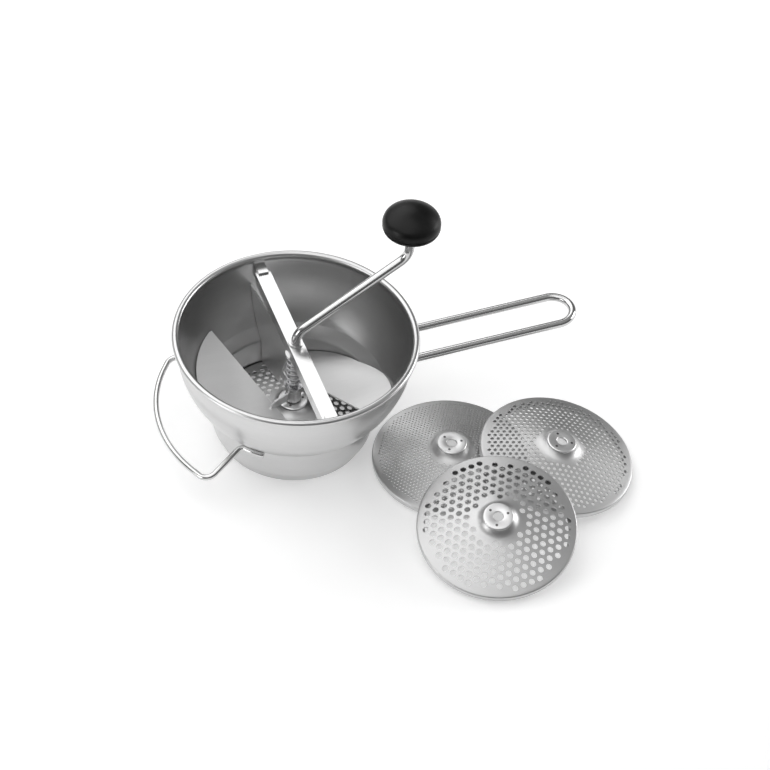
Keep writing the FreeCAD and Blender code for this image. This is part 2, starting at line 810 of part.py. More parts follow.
def lay(name, lower):
    """Find the least lean at which a disc clears the ones under it."""
    x, y = N[name + "_x"], N[name + "_y"]
    middle = Vector(0, 0, 0)
    for placement in lower:
        middle += placement.Base * (1.0 / len(lower))
    towards = math.degrees(math.atan2(middle.y - y, middle.x - x))
    flat, steep = 0.0, N["lean_limit"]
    halvings = 24
    for _ in range(halvings):
        tried = (flat + steep) / 2
        placement = lean(x, y, towards, tried)
        if min(least_gap(placement, other) for other in lower) > N["lie_gap"]:
            steep = tried
        else:
            flat = tried
    print("%s disc leans %.2f degrees" % (name, steep))
    return lean(x, y, towards, steep)


# Blade: two inclined wings on a boss, and a sheet that sweeps the wall.
def bowl_inside(label, gap):
    """The room over the sieve disc, clear of the bowl and the disc by a gap."""
    wall = D["wall"] + gap
    body = new_body(label)
    revolve(body, label + "_turn", [
        (ZERO, mill_hub_top + gap), (D["hub_radius"] + gap, mill_hub_top + gap),
        (D["neck_radius"] + gap, disc_base + cone_top + gap),
        (D["skirt_low_radius"] - wall, disc_base + edge_top + gap),
        (D["skirt_top_radius"] - wall, D["skirt_height"]),
        (D["shoulder_radius"] - wall - gap * N["inside_lift"], D["shoulder_height"] + D["inside_lift"]),
        (D["bowl_radius"] - wall, D["bowl_height"]), (ZERO, D["bowl_height"])],
        {5: (D["bowl_curve"] - wall, 1)})
    return body


def common(label, base, tool):
    """What base and tool share, under the sub-part's name."""
    result = doc.addObject("Part::Common", label)
    result.Label = label
    result.Base = base
    result.Tool = tool
    doc.recompute()
    return result


def box(label, length, width, height, placement):
    """A block bound to the sheet, at a placement."""
    block = doc.addObject("Part::Box", label)
    block.setExpression("Length", length.formula)
    block.setExpression("Width", width.formula)
    block.setExpression("Height", height.formula)
    block.Placement = placement
    return block


def make_blade():
    """Each wing is a tilted plate cut to the bowl's room; a web ties it to the boss."""
    pieces = [ring("blade_boss", D["shaft_radius"] + D["press_gap"], D["blade_boss_radius"],
                   mill_hub_top + D["blade_gap"], collar_bottom)]
    reach = D["bowl_radius"]
    tilt = FreeCAD.Rotation(Vector(1, 0, 0), -N["blade_slope"])
    for index, degrees in enumerate((N["blade_angle"], N["blade_angle"] + 180)):
        turned = spin(degrees)
        level = turned.multiply(FreeCAD.Placement(Vector(0, 0, N["blade_level"]), tilt))
        corner = Vector(N["blade_chord"], -N["bowl_radius"], 0)
        plate = box("wing_plate_%d" % index, reach, reach + D["blade_trail"], D["blade_sheet"],
                    level.multiply(FreeCAD.Placement(corner, FreeCAD.Rotation())))
        pieces.append(common("wing_%d" % index, plate, bowl_inside("wing_room_%d" % index, D["blade_gap"])))
        start = Vector(N["blade_boss_radius"] - N["blade_sheet"], -N["blade_sheet"] / 2, N["blade_level"])
        web = box("web_%d" % index, D["blade_chord"], D["blade_sheet"], D["web_height"],
                  turned.multiply(FreeCAD.Placement(start, FreeCAD.Rotation())))
        pieces.append(web)
    blade = doc.addObject("Part::MultiFuse", "blade")
    blade.Label = "blade"
    blade.Shapes = pieces
    doc.recompute()
    return blade


def make_scraper():
    """An upright sheet that follows the wall and the disc, with a tongue to the boss."""
    body = new_body("scraper_blank")
    boss = D["blade_boss_radius"] + D["press_gap"]
    tongue_low = mill_hub_top + D["blade_gap"] + D["tongue_lift"]
    tongue_high = collar_bottom - D["blade_gap"]
    face = outline(body, "scraper_face", "XZ_Plane", [
        (D["scraper_foot"], ledge), (D["bowl_radius"], ledge), (D["bowl_radius"], scraper_top),
        (D["scraper_head"], scraper_top), (D["scraper_waist"], tongue_high), (boss, tongue_high),
        (boss, tongue_low), (D["scraper_toe"], tongue_low)])
    pad = body.newObject("PartDesign::Pad", "scraper_pad")
    pad.Profile = face
    pad.Midplane = True
    pad.setExpression("Length", D["scraper_sheet"].formula)
    body.Placement = spin(N["scraper_angle"])
    doc.recompute()
    return common("wall_scraper", body, bowl_inside("scraper_room", D["blade_gap"]))


def make_all():
    """Every sub-part of the mill and its spare discs."""
    parts = [make_bowl(), make_long_handle(), make_front_handle()]
    parts += [make_lug("bar_lug_back", 90), make_lug("bar_lug_front", 270)]
    parts += [make_crossbar(), make_bush(), make_spring()]
    parts.append(ring("thrust_washer", bore_radius, D["washer_radius"], washer_bottom, washer_top))
    parts.append(ring("shaft_collar", D["shaft_radius"] + D["press_gap"], D["collar_radius"],
                      collar_bottom, collar_bottom + D["collar_height"]))
    parts += [make_crank_rod(), make_blade(), make_scraper()]
    parts += make_knob()
    parts += make_disc("mill", FreeCAD.Placement(Vector(0, 0, number(disc_base)), FreeCAD.Rotation()))
    fine = FreeCAD.Placement(Vector(N["fine_x"], N["fine_y"], 0), FreeCAD.Rotation())
    medium = lay("medium", [fine])
    coarse = lay("coarse", [fine, medium])
    for name, placement in (("fine", fine), ("medium", medium), ("coarse", coarse)):
        parts += make_disc(name, placement)
    return parts


def export(parts):
    """Check every object and write one file for each sub-part."""
    doc.recompute()
    for item in doc.Objects:
        if "Invalid" in item.State or "Error" in item.State:
            raise RuntimeError("failed: " + item.Label)
    for part in parts:
        shape = part.Shape
        if shape.isNull() or not shape.isValid() or not shape.Solids:
            raise RuntimeError("bad shape: " + part.Label)
        print("%-16s solids %d volume %.0f" % (part.Label, len(shape.Solids), shape.Volume))
        shape.exportStep("parts/%s.step" % part.Label)


export(make_all())
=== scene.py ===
"""Looks of a steel food mill and its spare discs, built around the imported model.

Sizes are in millimetres in the classes of the object, and in metres in the finishes and the studio.
"""

import logging
import math
from collections.abc import Iterable, Sequence
from dataclasses import dataclass, field
from enum import Enum

import bpy
import numpy as np
from mathutils import Matrix, Vector
from mathutils.geometry import delaunay_2d_cdt


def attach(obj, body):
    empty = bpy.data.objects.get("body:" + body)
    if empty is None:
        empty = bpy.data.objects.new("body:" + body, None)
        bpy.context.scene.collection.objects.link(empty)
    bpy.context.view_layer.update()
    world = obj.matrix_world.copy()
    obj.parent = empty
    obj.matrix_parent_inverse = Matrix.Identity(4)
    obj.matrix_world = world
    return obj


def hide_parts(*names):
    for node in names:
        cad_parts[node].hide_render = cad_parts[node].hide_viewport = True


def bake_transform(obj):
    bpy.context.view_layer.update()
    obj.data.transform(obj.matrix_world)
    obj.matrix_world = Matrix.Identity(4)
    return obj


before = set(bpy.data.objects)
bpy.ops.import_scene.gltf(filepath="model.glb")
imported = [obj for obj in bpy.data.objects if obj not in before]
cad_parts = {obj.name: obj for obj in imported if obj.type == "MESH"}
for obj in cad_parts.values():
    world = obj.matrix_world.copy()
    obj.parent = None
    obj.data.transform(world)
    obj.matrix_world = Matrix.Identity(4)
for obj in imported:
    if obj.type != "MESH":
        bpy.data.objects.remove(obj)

MM = 0.001
TINY = 1e-6
LOG = logging.getLogger("food_mill")
Face = tuple[int, ...]
Point = tuple[float, float]
Triple = tuple[float, float, float]
Solid = tuple[list[Vector], list[Face]]
Socket = bpy.types.NodeSocket
Tree = bpy.types.NodeTree
Piece = bpy.types.Object


class Grain(Enum):
    """Which way the fine lines of a metal surface run."""

    TURNED = "turned"
    ALONG_X = "along_x"
    ALONG_Y = "along_y"
    DRAWN = "drawn"


GRAIN_STRETCH: dict[Grain, Triple] = {
    Grain.ALONG_X: (0.03, 1.0, 1.0),
    Grain.ALONG_Y: (1.0, 0.03, 1.0),
    Grain.DRAWN: (0.5, 0.5, 0.5),
}


class Effect(Enum):
    """Shader groups that the finishes share."""

    TURNED_PLACE = "turned_place"
    BRUSH_LINES = "brush_lines"
    HANDLING_MARKS = "handling_marks"
    WELD_SPOTS = "weld_spots"


# Shader steps


def value_of(tree: Tree, operation: str, *items: Socket | float) -> Socket:
    """Join values by one maths step.

    Args:
        tree: node tree that gets the step.
        operation: Blender's name of the step.
        items: socket or number for each input.

    Returns:
        The step's output socket.
    """
    step = tree.nodes.new("ShaderNodeMath")
    step.operation = operation
    for socket, item in zip(step.inputs, items):
        if isinstance(item, Socket):
            tree.links.new(item, socket)
        else:
            socket.default_value = item
    return step.outputs[0]


def hypotenuse(tree: Tree, first: Socket, second: Socket) -> Socket:
    """Long side of a right triangle.

    Args:
        tree: node tree that gets the steps.
        first: one short side.
        second: the other short side.

    Returns:
        Socket with the length.
    """
    squares = [value_of(tree, "MULTIPLY", side, side) for side in (first, second)]
    return value_of(tree, "SQRT", value_of(tree, "ADD", *squares))


def spread(tree: Tree, value: Socket, low: float, high: float) -> Socket:
    """Map a 0 to 1 value on to a range.

    Args:
        tree: the material's node tree.
        value: socket to map.
        low: result at 0.
        high: result at 1.

    Returns:
        The mapped socket.
    """
    node = tree.nodes.new("ShaderNodeMapRange")
    node.inputs["To Min"].default_value = low
    node.inputs["To Max"].default_value = high
    tree.links.new(value, node.inputs["Value"])
    return node.outputs[0]


def blend_colour(tree: Tree, mask: Socket, first: Triple | Socket, second: Triple | Socket) -> Socket:
    """Mix two colours by a mask.

    Args:
        tree: the material's node tree.
        mask: socket that is 0 for the first colour and 1 for the second.
        first: red, green and blue, or a socket with the colour.
        second: the same for the second colour.

    Returns:
        The mixed colour's socket.
    """
    node = tree.nodes.new("ShaderNodeMix")
    node.data_type = "RGBA"
    tree.links.new(mask, node.inputs["Factor"])
    for label, colour in (("A", first), ("B", second)):
        if isinstance(colour, Socket):
            tree.links.new(colour, node.inputs[label])
        else:
            node.inputs[label].default_value = (*colour, 1.0)
    return node.outputs["Result"]


def grey(level: float, blue: float = 0.0) -> Triple:
    """A grey tone, with a little more blue where asked."""
    return (level, level, level + blue)


@dataclass(frozen=True)
class SharedEffects:
    """The shader groups that the finishes share, each made once."""

    turn_length: float = 0.004
    brush_layers: tuple[tuple[str, float, float], ...] = (("Fineness", 3.0, 0.6), ("Bands", 2.0, 0.4))
    brush_scales: Point = (2500.0, 160.0)
    mark_scale: float = 26.0
    mark_detail: float = 4.0
    mark_roughness: float = 0.55
    mark_range: Point = (0.35, 0.7)
    spot_count: int = 3
    spot_turn: float = 9.5
    spot_ring: float = 0.0084
    spot_size: float = 0.0013
    spot_core: float = 0.0009

    def new_group(self, effect: Effect, inputs: dict[str, float], output: str, kind: str) -> Tree:
        """Start a group that takes a place on the surface.

        Args:
            effect: the effect that it makes.
            inputs: number sockets and their defaults.
            output: name of its output.
            kind: end of the output's socket type.

        Returns:
            The group with its input and output nodes.
        """
        group = bpy.data.node_groups.new(effect.value, "ShaderNodeTree")
        group.interface.new_socket("Place", in_out="INPUT", socket_type="NodeSocketVector")
        for label, default in inputs.items():
            socket = group.interface.new_socket(label, in_out="INPUT", socket_type="NodeSocketFloat")
            socket.default_value = default
        group.interface.new_socket(output, in_out="OUTPUT", socket_type="NodeSocket" + kind)
        group.nodes.new("NodeGroupInput").name = "ins"
        group.nodes.new("NodeGroupOutput").name = "outs"
        return group

    def put_out(self, group: Tree, result: Socket) -> Tree:
        """Lead a socket to the group's output and give the group back."""
        group.links.new(result, group.nodes["outs"].inputs[0])
        return group

    def polar_parts(self, group: Tree) -> tuple[Socket, Socket, Socket]:
        """Split the group's place about the piece's own axis.

        Args:
            group: the group that gets the steps.

        Returns:
            Radius, angle and height.
        """
        parts = group.nodes.new("ShaderNodeSeparateXYZ")
        group.links.new(group.nodes["ins"].outputs["Place"], parts.inputs[0])
        across, along, height = parts.outputs
        return hypotenuse(group, across, along), value_of(group, "ARCTAN2", along, across), height

    def noise(self, group: Tree, scale: str, detail: float) -> bpy.types.Node:
        """Lay noise over the group's place.

        Args:
            group: the group that gets the noise.
            scale: name of the input with its scale.
            detail: how many finer layers it has.

        Returns:
            The noise node.
        """
        node = group.nodes.new("ShaderNodeTexNoise")
        node.inputs["Detail"].default_value = detail
        for label, socket in (("Place", "Vector"), (scale, "Scale")):
            group.links.new(group.nodes["ins"].outputs[label], node.inputs[socket])
        return node

    def turned_place(self) -> Tree:
        """Turn a place into radius, height and way round the piece's own axis.

        Returns:
            The group.
        """
        group = self.new_group(Effect.TURNED_PLACE, {}, "Place", "Vector")
        radius, angle, height = self.polar_parts(group)
        joined = group.nodes.new("ShaderNodeCombineXYZ")
        way = value_of(group, "MULTIPLY", angle, self.turn_length)
        for socket, item in zip(joined.inputs, (radius, height, way)):
            group.links.new(item, socket)
        return self.put_out(group, joined.outputs[0])

    def brush_lines(self) -> Tree:
        """Fine drawn-out lines with broader bands under them.

        Returns:
            The group.
        """
        labels = [label for label, _, _ in self.brush_layers]
        group = self.new_group(Effect.BRUSH_LINES, dict(zip(labels, self.brush_scales)), "Lines", "Float")
        layers = [
            value_of(group, "MULTIPLY", self.noise(group, label, detail).outputs[0], weight)
            for label, detail, weight in self.brush_layers
        ]
        return self.put_out(group, value_of(group, "ADD", *layers))

    def handling_marks(self) -> Tree:
        """Soft cloudy marks that a wiped metal or plastic surface keeps.

        Returns:
            The group.
        """
        group = self.new_group(Effect.HANDLING_MARKS, {"Size": self.mark_scale}, "Marks", "Float")
        clouds = self.noise(group, "Size", self.mark_detail)
        clouds.inputs["Roughness"].default_value = self.mark_roughness
        cut = group.nodes.new("ShaderNodeMapRange")
        for label, level in zip(("From Min", "From Max"), self.mark_range):
            cut.inputs[label].default_value = level
        group.links.new(clouds.outputs[0], cut.inputs["Value"])
        return self.put_out(group, cut.outputs[0])

    def weld_spots(self) -> Tree:
        """Small pressed spots round a hub plate: a mask for their dent and for their painted shade.

        Returns:
            The group.
        """
        sizes = {"Ring": self.spot_ring, "Size": self.spot_size}
        group = self.new_group(Effect.WELD_SPOTS, sizes, "Spots", "Float")
        ins = group.nodes["ins"].outputs
        radius, angle, _ = self.polar_parts(group)
        part = 2 * math.pi / self.spot_count
        wrapped = value_of(group, "WRAP", value_of(group, "ADD", angle, self.spot_turn), part, 0.0)
        side = value_of(group, "MULTIPLY", value_of(group, "SUBTRACT", wrapped, part / 2), radius)
        distance = hypotenuse(group, side, value_of(group, "SUBTRACT", radius, ins["Ring"]))
        edge = group.nodes.new("ShaderNodeMapRange")
        edge.interpolation_type = "SMOOTHSTEP"
        for label, level in (("From Min", self.spot_core), ("To Min", 1.0), ("To Max", 0.0)):
            edge.inputs[label].default_value = level
        group.links.new(distance, edge.inputs["Value"])
        group.links.new(ins["Size"], edge.inputs["From Max"])
        return self.put_out(group, edge.outputs[0])

    def make(self) -> dict[Effect, Tree]:
        """Make every group.

        Returns:
            The groups by their effects.
        """
        return {
            Effect.TURNED_PLACE: self.turned_place(),
            Effect.BRUSH_LINES: self.brush_lines(),
            Effect.HANDLING_MARKS: self.handling_marks(),
            Effect.WELD_SPOTS: self.weld_spots(),
        }


GROUPS = SharedEffects().make()


def place_group(tree: Tree, effect: Effect, place: Socket, **numbers: float) -> Socket:
    """Put a shared group in a material.

    Args:
        tree: the material's node tree.
        effect: the group's effect.
        place: socket with the place on the surface.
        numbers: values for the group's inputs.

    Returns:
        The group's output.
    """
    node = tree.nodes.new("ShaderNodeGroup")
    node.node_tree = GROUPS[effect]
    tree.links.new(place, node.inputs["Place"])
    for label, number in numbers.items():
        node.inputs[label].default_value = number
    return node.outputs[0]


def new_material(name: str) -> tuple[bpy.types.Material, bpy.types.Node]:
    """Start a procedural material.

    Args:
        name: the material's name.

    Returns:
        The material and its shader.
    """
    made = bpy.data.materials.new(name)
    made.use_nodes = True
    return made, made.node_tree.nodes["Principled BSDF"]


def add_bump(tree: Tree, shader: bpy.types.Node, height: Socket, strength: float, depth: float) -> None:
    """Let a height tilt the shader's normal.

    Args:
        tree: the material's node tree.
        shader: the material's shader.
        height: socket with the height.
        strength: share of the tilt.
        depth: metres from the lowest to the highest place.
    """
    bump = tree.nodes.new("ShaderNodeBump")
    bump.inputs["Strength"].default_value = strength
    bump.inputs["Distance"].default_value = depth
    tree.links.new(height, bump.inputs["Height"])
    tree.links.new(bump.outputs[0], shader.inputs["Normal"])


# Finishes


@dataclass(frozen=True)
class Steel:
    """A steel finish: tone, gloss and the grain left by making it."""

    name: str
    dark: Triple
    light: Triple
    smooth: float
    rough: float
    grain: Grain
    anisotropy: float = 0.0
    bump: float = 0.02
    bump_depth: float = 0.0004
    mark_weight: float = 0.025
    spots: bool = False
    # Tone of the pressed spots: painted shade of their dimples, not a tone of the steel.
    spot_shade_tone: Triple = (0.12, 0.12, 0.12)
    spot_depth: float = 6.0
    settled: bool = False

    def material(self) -> bpy.types.Material:
        """The finish as a procedural material.

        Returns:
            The material, made once.
        """
        if self.name in bpy.data.materials:
            return bpy.data.materials[self.name]
        made, shader = new_material(self.name)
        tree = made.node_tree
        shader.inputs["Metallic"].default_value = 1.0
        shader.inputs["Anisotropic"].default_value = self.anisotropy
        place = self.own_place(tree)
        lines = place_group(tree, Effect.BRUSH_LINES, self.lined(tree, place))
        marks = place_group(tree, Effect.HANDLING_MARKS, place)
        worn = value_of(tree, "MULTIPLY", marks, self.mark_weight)
        rough = value_of(tree, "ADD", spread(tree, lines, self.smooth, self.rough), worn)
        colour = blend_colour(tree, lines, self.dark, self.light)
        height = lines
        if self.spots:
            # Pressed spots: the dent in the bump is real, and the dark colour is painted shade of the
            # dimples.
            spots = place_group(tree, Effect.WELD_SPOTS, place)
            colour = blend_colour(tree, spots, colour, self.spot_shade_tone)
            height = value_of(tree, "SUBTRACT", lines, value_of(tree, "MULTIPLY", spots, self.spot_depth))
        tree.links.new(colour, shader.inputs["Base Color"])
        tree.links.new(rough, shader.inputs["Roughness"])
        add_bump(tree, shader, height, self.bump, self.bump_depth)
        if self.anisotropy > 0:
            tangent = tree.nodes.new("ShaderNodeTangent")
            tangent.direction_type = "RADIAL"
            tangent.axis = "Z"
            tree.links.new(tangent.outputs[0], shader.inputs["Tangent"])
        return made

    def own_place(self, tree: Tree) -> Socket:
        """The place on the piece, in the piece's own frame.

        Args:
            tree: the material's node tree.

        Returns:
            Socket with the place.
        """
        if not self.settled:
            return tree.nodes.new("ShaderNodeTexCoord").outputs["Object"]
        node = tree.nodes.new("ShaderNodeAttribute")
        node.attribute_name = "own_place"
        return node.outputs["Vector"]

    def lined(self, tree: Tree, place: Socket) -> Socket:
        """Stretch the place along the grain.

        Args:
            tree: the material's node tree.
            place: socket with the place on the surface.

        Returns:
            The stretched place.
        """
        if self.grain is Grain.TURNED:
            return place_group(tree, Effect.TURNED_PLACE, place)
        node = tree.nodes.new("ShaderNodeVectorMath")
        node.operation = "MULTIPLY"
        node.inputs[1].default_value = GRAIN_STRETCH[self.grain]
        tree.links.new(place, node.inputs[0])
        return node.outputs[0]


@dataclass(frozen=True)
class MouldedPlastic:
    """A satin black moulded plastic with a fine spark-eroded grain."""

    name: str = "knob_black"
    dark: Triple = (0.004, 0.004, 0.004)
    light: Triple = (0.009, 0.009, 0.009)
    gloss: float = 0.22
    smooth: float = 0.34
    rough: float = 0.46
    mark_scale: float = 60.0
    grain_scales: Point = (1600.0, 500.0)
    bump: float = 0.12
    bump_depth: float = 0.0002

    def material(self) -> bpy.types.Material:
        """The finish as a procedural material.

        Returns:
            The material, made once.
        """
        if self.name in bpy.data.materials:
            return bpy.data.materials[self.name]
        made, shader = new_material(self.name)
        tree = made.node_tree
        shader.inputs["Specular IOR Level"].default_value = self.gloss
        place = tree.nodes.new("ShaderNodeTexCoord").outputs["Object"]
        fine, bands = self.grain_scales
        marks = place_group(tree, Effect.HANDLING_MARKS, place, Size=self.mark_scale)
        grain = place_group(tree, Effect.BRUSH_LINES, place, Fineness=fine, Bands=bands)
        tree.links.new(blend_colour(tree, marks, self.dark, self.light), shader.inputs["Base Color"])
        tree.links.new(spread(tree, marks, self.smooth, self.rough), shader.inputs["Roughness"])
        add_bump(tree, shader, grain, self.bump, self.bump_depth)
        return made


Finish = Steel | MouldedPlastic
KNOB_BLACK = MouldedPlastic()
BOWL_STEEL = Steel("bowl_satin_steel", grey(0.58), grey(0.68), 0.26, 0.34, Grain.TURNED, 0.5, 0.012)
ROD_STEEL = Steel("rod_polished_steel", grey(0.58), grey(0.68), 0.12, 0.20, Grain.DRAWN, bump=0.01)
BAR_STEEL = Steel("bar_polished_steel", grey(0.60), grey(0.70), 0.18, 0.26, Grain.ALONG_Y, bump=0.012)
WIRE_STEEL = Steel("spring_drawn_steel", grey(0.40, 0.01), grey(0.60, 0.01), 0.20, 0.34, Grain.DRAWN)
BLADE_STEEL = Steel("blade_satin_steel", grey(0.70), grey(0.80), 0.34, 0.44, Grain.ALONG_X, bump=0.015)
DISC_STEEL = Steel(
    "disc_satin_steel", grey(0.54), grey(0.64), 0.34, 0.44, Grain.TURNED, 0.3, 0.015, settled=True
)
HUB_STEEL = Steel(
    "hub_bright_steel", grey(0.76), grey(0.84), 0.30, 0.40, Grain.TURNED, 0.2, spots=True, settled=True
)


# Lines and sections


def around(count: int) -> list[float]:
    """Angles of equal steps round a circle."""
    return [2 * math.pi * step / count for step in range(count)]


def about_axis(radius: float, angle: float, height: float = 0.0) -> Vector:
    """A point about the upright axis."""
    return Vector((radius * math.cos(angle), radius * math.sin(angle), height))


def circle(radius: float, count: int, centre: Point = (0.0, 0.0)) -> list[Vector]:
    """Flat points of equal steps round a centre."""
    x, y = centre
    return [Vector((x + radius * math.cos(turn), y + radius * math.sin(turn))) for turn in around(count)]


def flat(points: Iterable[Point]) -> list[Vector]:
    """Section points as vectors in one plane."""
    return [Vector((*point, 0)) for point in points]


def section(line: Iterable[Vector]) -> list[Point]:
    """Vectors of one plane as section points."""
    return [(point.x, point.y) for point in line]


def radius_on(line: Iterable[Point], height: float) -> float:
    """Radius of a section line at a height.

    Args:
        line: radius and height of each point, from the lowest up.
        height: the height to read at.

    Returns:
        The radius there.
    """
    radii, heights = zip(*line)
    return float(np.interp(height, heights, radii))


def corner_round(points: list[Vector], radii: Sequence[float], steps: int = 8) -> list[Vector]:
    """Round the inner corners of a line.

    Args:
        points: the line's corners.
        radii: one radius for each inner corner.
        steps: segments in each rounding.

    Returns:
        The rounded line.
    """
    straight = 1e-4
    line = [points[0]]
    for before, corner, after, radius in zip(points, points[1:], points[2:], radii):
        inward, outward = (before - corner).normalized(), (after - corner).normalized()
        turn = math.pi - inward.angle(outward)
        if radius < TINY or turn < straight:
            line.append(corner)
            continue
        middle_way = (inward + outward).normalized()
        centre = corner + middle_way * (radius / math.cos(turn / 2))
        first = corner + inward * radius * math.tan(turn / 2) - centre
        side = inward * -radius
        for step in range(steps + 1):
            angle = turn * step / steps
            line.append(centre + first * math.cos(angle) + side * math.sin(angle))
    line.append(points[-1])
    return line


def arc_line(start: Point, end: Point, radius: float, steps: int) -> list[Point]:
    """Points of an arc that bulges to the right of its way.

    Args:
        start: first point.
        end: last point.
        radius: the arc's radius.
        steps: segments.

    Returns:
        The points from start to end.
    """
    first, last = Vector(start), Vector(end)
    chord = last - first
    lift = math.sqrt(radius * radius - chord.length_squared / 4)
    centre = (first + last) / 2 + Vector((-chord.y, chord.x)).normalized() * lift
    begin, finish = (math.atan2(point.y - centre.y, point.x - centre.x) for point in (first, last))
    angles = [begin + (finish - begin) * step / steps for step in range(steps + 1)]
    return [(centre.x + radius * math.cos(angle), centre.y + radius * math.sin(angle)) for angle in angles]


def ring_section(bore: float, radius: float, low: float, high: float, edge: float) -> list[Point]:
    """Section of a plain ring with its outer edges broken.

    Args:
        bore: inner radius.
        radius: outer radius.
        low: height of its underside.
        high: height of its top.
        edge: size of the broken edges.

    Returns:
        The section's corners, anticlockwise.
    """
    outer = [(radius - edge, low), (radius, low + edge), (radius, high - edge), (radius - edge, high)]
    return [(bore, low), *outer, (bore, high)]


# Meshes


def mesh_piece(name: str, verts: list[Vector], faces: list[Face], sharp: float = 38.0) -> Piece:
    """Make a piece from points in millimetres.

    Args:
        name: the piece's name.
        verts: points in millimetres.
        faces: vertex numbers of each face.
        sharp: angle in degrees over which an edge stays sharp.

    Returns:
        The linked object.
    """
    mesh = bpy.data.meshes.new(name)
    mesh.from_pydata([Vector(v) * MM for v in verts], [], faces)
    mesh.update()
    mesh.shade_smooth()
    mesh.set_sharp_from_angle(angle=math.radians(sharp))
    piece = bpy.data.objects.new(name, mesh)
    bpy.context.scene.collection.objects.link(piece)
    return piece


def lathe(name: str, profile: list[Point], segments: int, sharp: float = 38.0) -> Piece:
    """Turn a closed section about Z; points at radius 0 become poles.

    Args:
        name: the piece's name.
        profile: radius and height of each corner, anticlockwise.
        segments: steps round the axis.
        sharp: angle in degrees over which an edge stays sharp.

    Returns:
        The turned piece.
    """
    verts: list[Vector] = []
    rings: list[list[int]] = []
    for radius, height in profile:
        angles = around(segments) if radius > TINY else [0.0]
        rings.append([len(verts) + step % len(angles) for step in range(segments)])
        verts += [about_axis(radius, angle, height) for angle in angles]
    faces = []
    for lower, upper in zip(rings, rings[1:] + rings[:1]):
        for step in range(segments):
            after = (step + 1) % segments
            corners = (lower[step], lower[after], upper[after], upper[step])
            unique = tuple(dict.fromkeys(corners))
            if len(unique) > 2:
                faces.append(unique)
    return mesh_piece(name, verts, faces, sharp)


def tube(name: str, path: list[Vector], radius: float, sides: int = 20, round_ends: bool = False) -> Piece:
    """A round bar along a line.

    Args:
        name: the piece's name.
        path: the line's points in millimetres.
        radius: the bar's radius.
        sides: steps round the bar.
        round_ends: True for softly rounded ends.

    Returns:
        The bar with closed ends.
    """
    least_step = 0.05
    path = path[:1] + [after for before, after in zip(path, path[1:]) if (after - before).length > least_step]
    ways = [(after - before).normalized() for before, after in zip(path, path[1:])]
    side = ways[0].orthogonal().normalized()
    rings: list[tuple[Vector, Vector, Vector, float]] = []
    for index, point in enumerate(path):
        way = (ways[max(index - 1, 0)] + ways[min(index, len(ways) - 1)]).normalized()
        side = (side - side.project(way)).normalized()
        rings.append((point, way, side, radius))
    if round_ends:
        rings = rounded_end(rings[0], -1)[::-1] + rings + rounded_end(rings[-1], 1)
    verts = []
    for point, way, across, size in rings:
        up = way.cross(across)
        verts += [point + (across * math.cos(a) + up * math.sin(a)) * size for a in around(sides)]
    faces: list[Face] = []
    for ring in range(len(rings) - 1):
        for step in range(sides):
            low, after = ring * sides + step, ring * sides + (step + 1) % sides
            faces.append((low, after, after + sides, low + sides))
    faces.append(tuple(range(sides - 1, -1, -1)))
    faces.append(tuple(range(len(verts) - sides, len(verts))))
    return mesh_piece(name, verts, faces)


def rounded_end(
    ring: tuple[Vector, Vector, Vector, float], onward: int
) -> list[tuple[Vector, Vector, Vector, float]]:
    """Rings that close the end of a bar in a soft round.

    Args:
        ring: place, way, side and radius of the bar's last ring.
        onward: 1 where the end runs on along the way, -1 where it runs back.

    Returns:
        The further rings, outwards.
    """
    rounding = ((0.18, 0.92), (0.42, 0.72), (0.5, 0.35))
    point, way, side, radius = ring
    return [(point + way * onward * radius * push, way, side, radius * share) for push, share in rounding]


def prism(near: list[Vector], far: list[Vector]) -> Solid:
    """Close two matching outlines into a solid.

    Args:
        near: outline that runs anticlockwise as seen from outside.
        far: the matching outline on the other side.

    Returns:
        Points and faces of the solid.
    """
    count = len(near)
    faces = [tuple(range(count)), tuple(range(2 * count - 1, count - 1, -1))]
    for index in range(count):
        after = (index + 1) % count
        faces.append((after, index, index + count, after + count))
    return near + far, faces


def thicken(verts: list[Vector], faces: list[Face], depth: float) -> Solid:
    """Give an open surface a thickness under it, with walls at every free edge.

    Args:
        verts: the surface's points.
        faces: its faces, anticlockwise from above.
        depth: thickness of the sheet.

    Returns:
        Points and faces of the closed sheet.
    """
    points = np.array([tuple(v) for v in verts], float)
    normals = np.zeros_like(points)
    for face in faces:
        a, b, c = points[face[0]], points[face[1]], points[face[-1]]
        normal = np.cross(b - a, c - a)
        for corner in face:
            normals[corner] += normal
    normals /= np.linalg.norm(normals, axis=1)[:, None]
    count = len(points)
    edges = dict.fromkeys(edge for face in faces for edge in zip(face, face[1:] + face[:1]))
    walls = [(b, a, a + count, b + count) for a, b in edges if (b, a) not in edges]
    lower = [tuple(corner + count for corner in reversed(face)) for face in faces]
    every = [Vector(point) for point in (*points, *(points - normals * depth))]
    return every, faces + lower + walls


def settle(piece: Piece, place: Matrix) -> None:
    """Lay a piece's points where it belongs and keep their own places for its finish.

    Args:
        piece: the piece, made about its own axis.
        place: where it lies, in metres.
    """
    own = piece.data.attributes.new("own_place", "FLOAT_VECTOR", "POINT")
    own.data.foreach_set("vector", [number for vertex in piece.data.vertices for number in vertex.co])
    piece.data.transform(place)
    piece.data.update()


def dress(
    piece: Piece,
    finish: Finish,
    body: str | None = None,
    nodes: tuple[str, ...] = (),
) -> Piece:
    """Give a piece its finish and its place in the model.

    Args:
        piece: the object to dress.
        finish: its finish.
        body: body that it rides on, or None for a node or a blended piece.
        nodes: nodes that it stands for.

    Returns:
        The same object.
    """
    piece.data.materials.clear()
    piece.data.materials.append(finish.material())
    if body:
        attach(piece, body)
    if nodes:
        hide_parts(*nodes)
    LOG.info("%s: %s, %d faces", piece.name, finish.name, len(piece.data.polygons))
    return piece


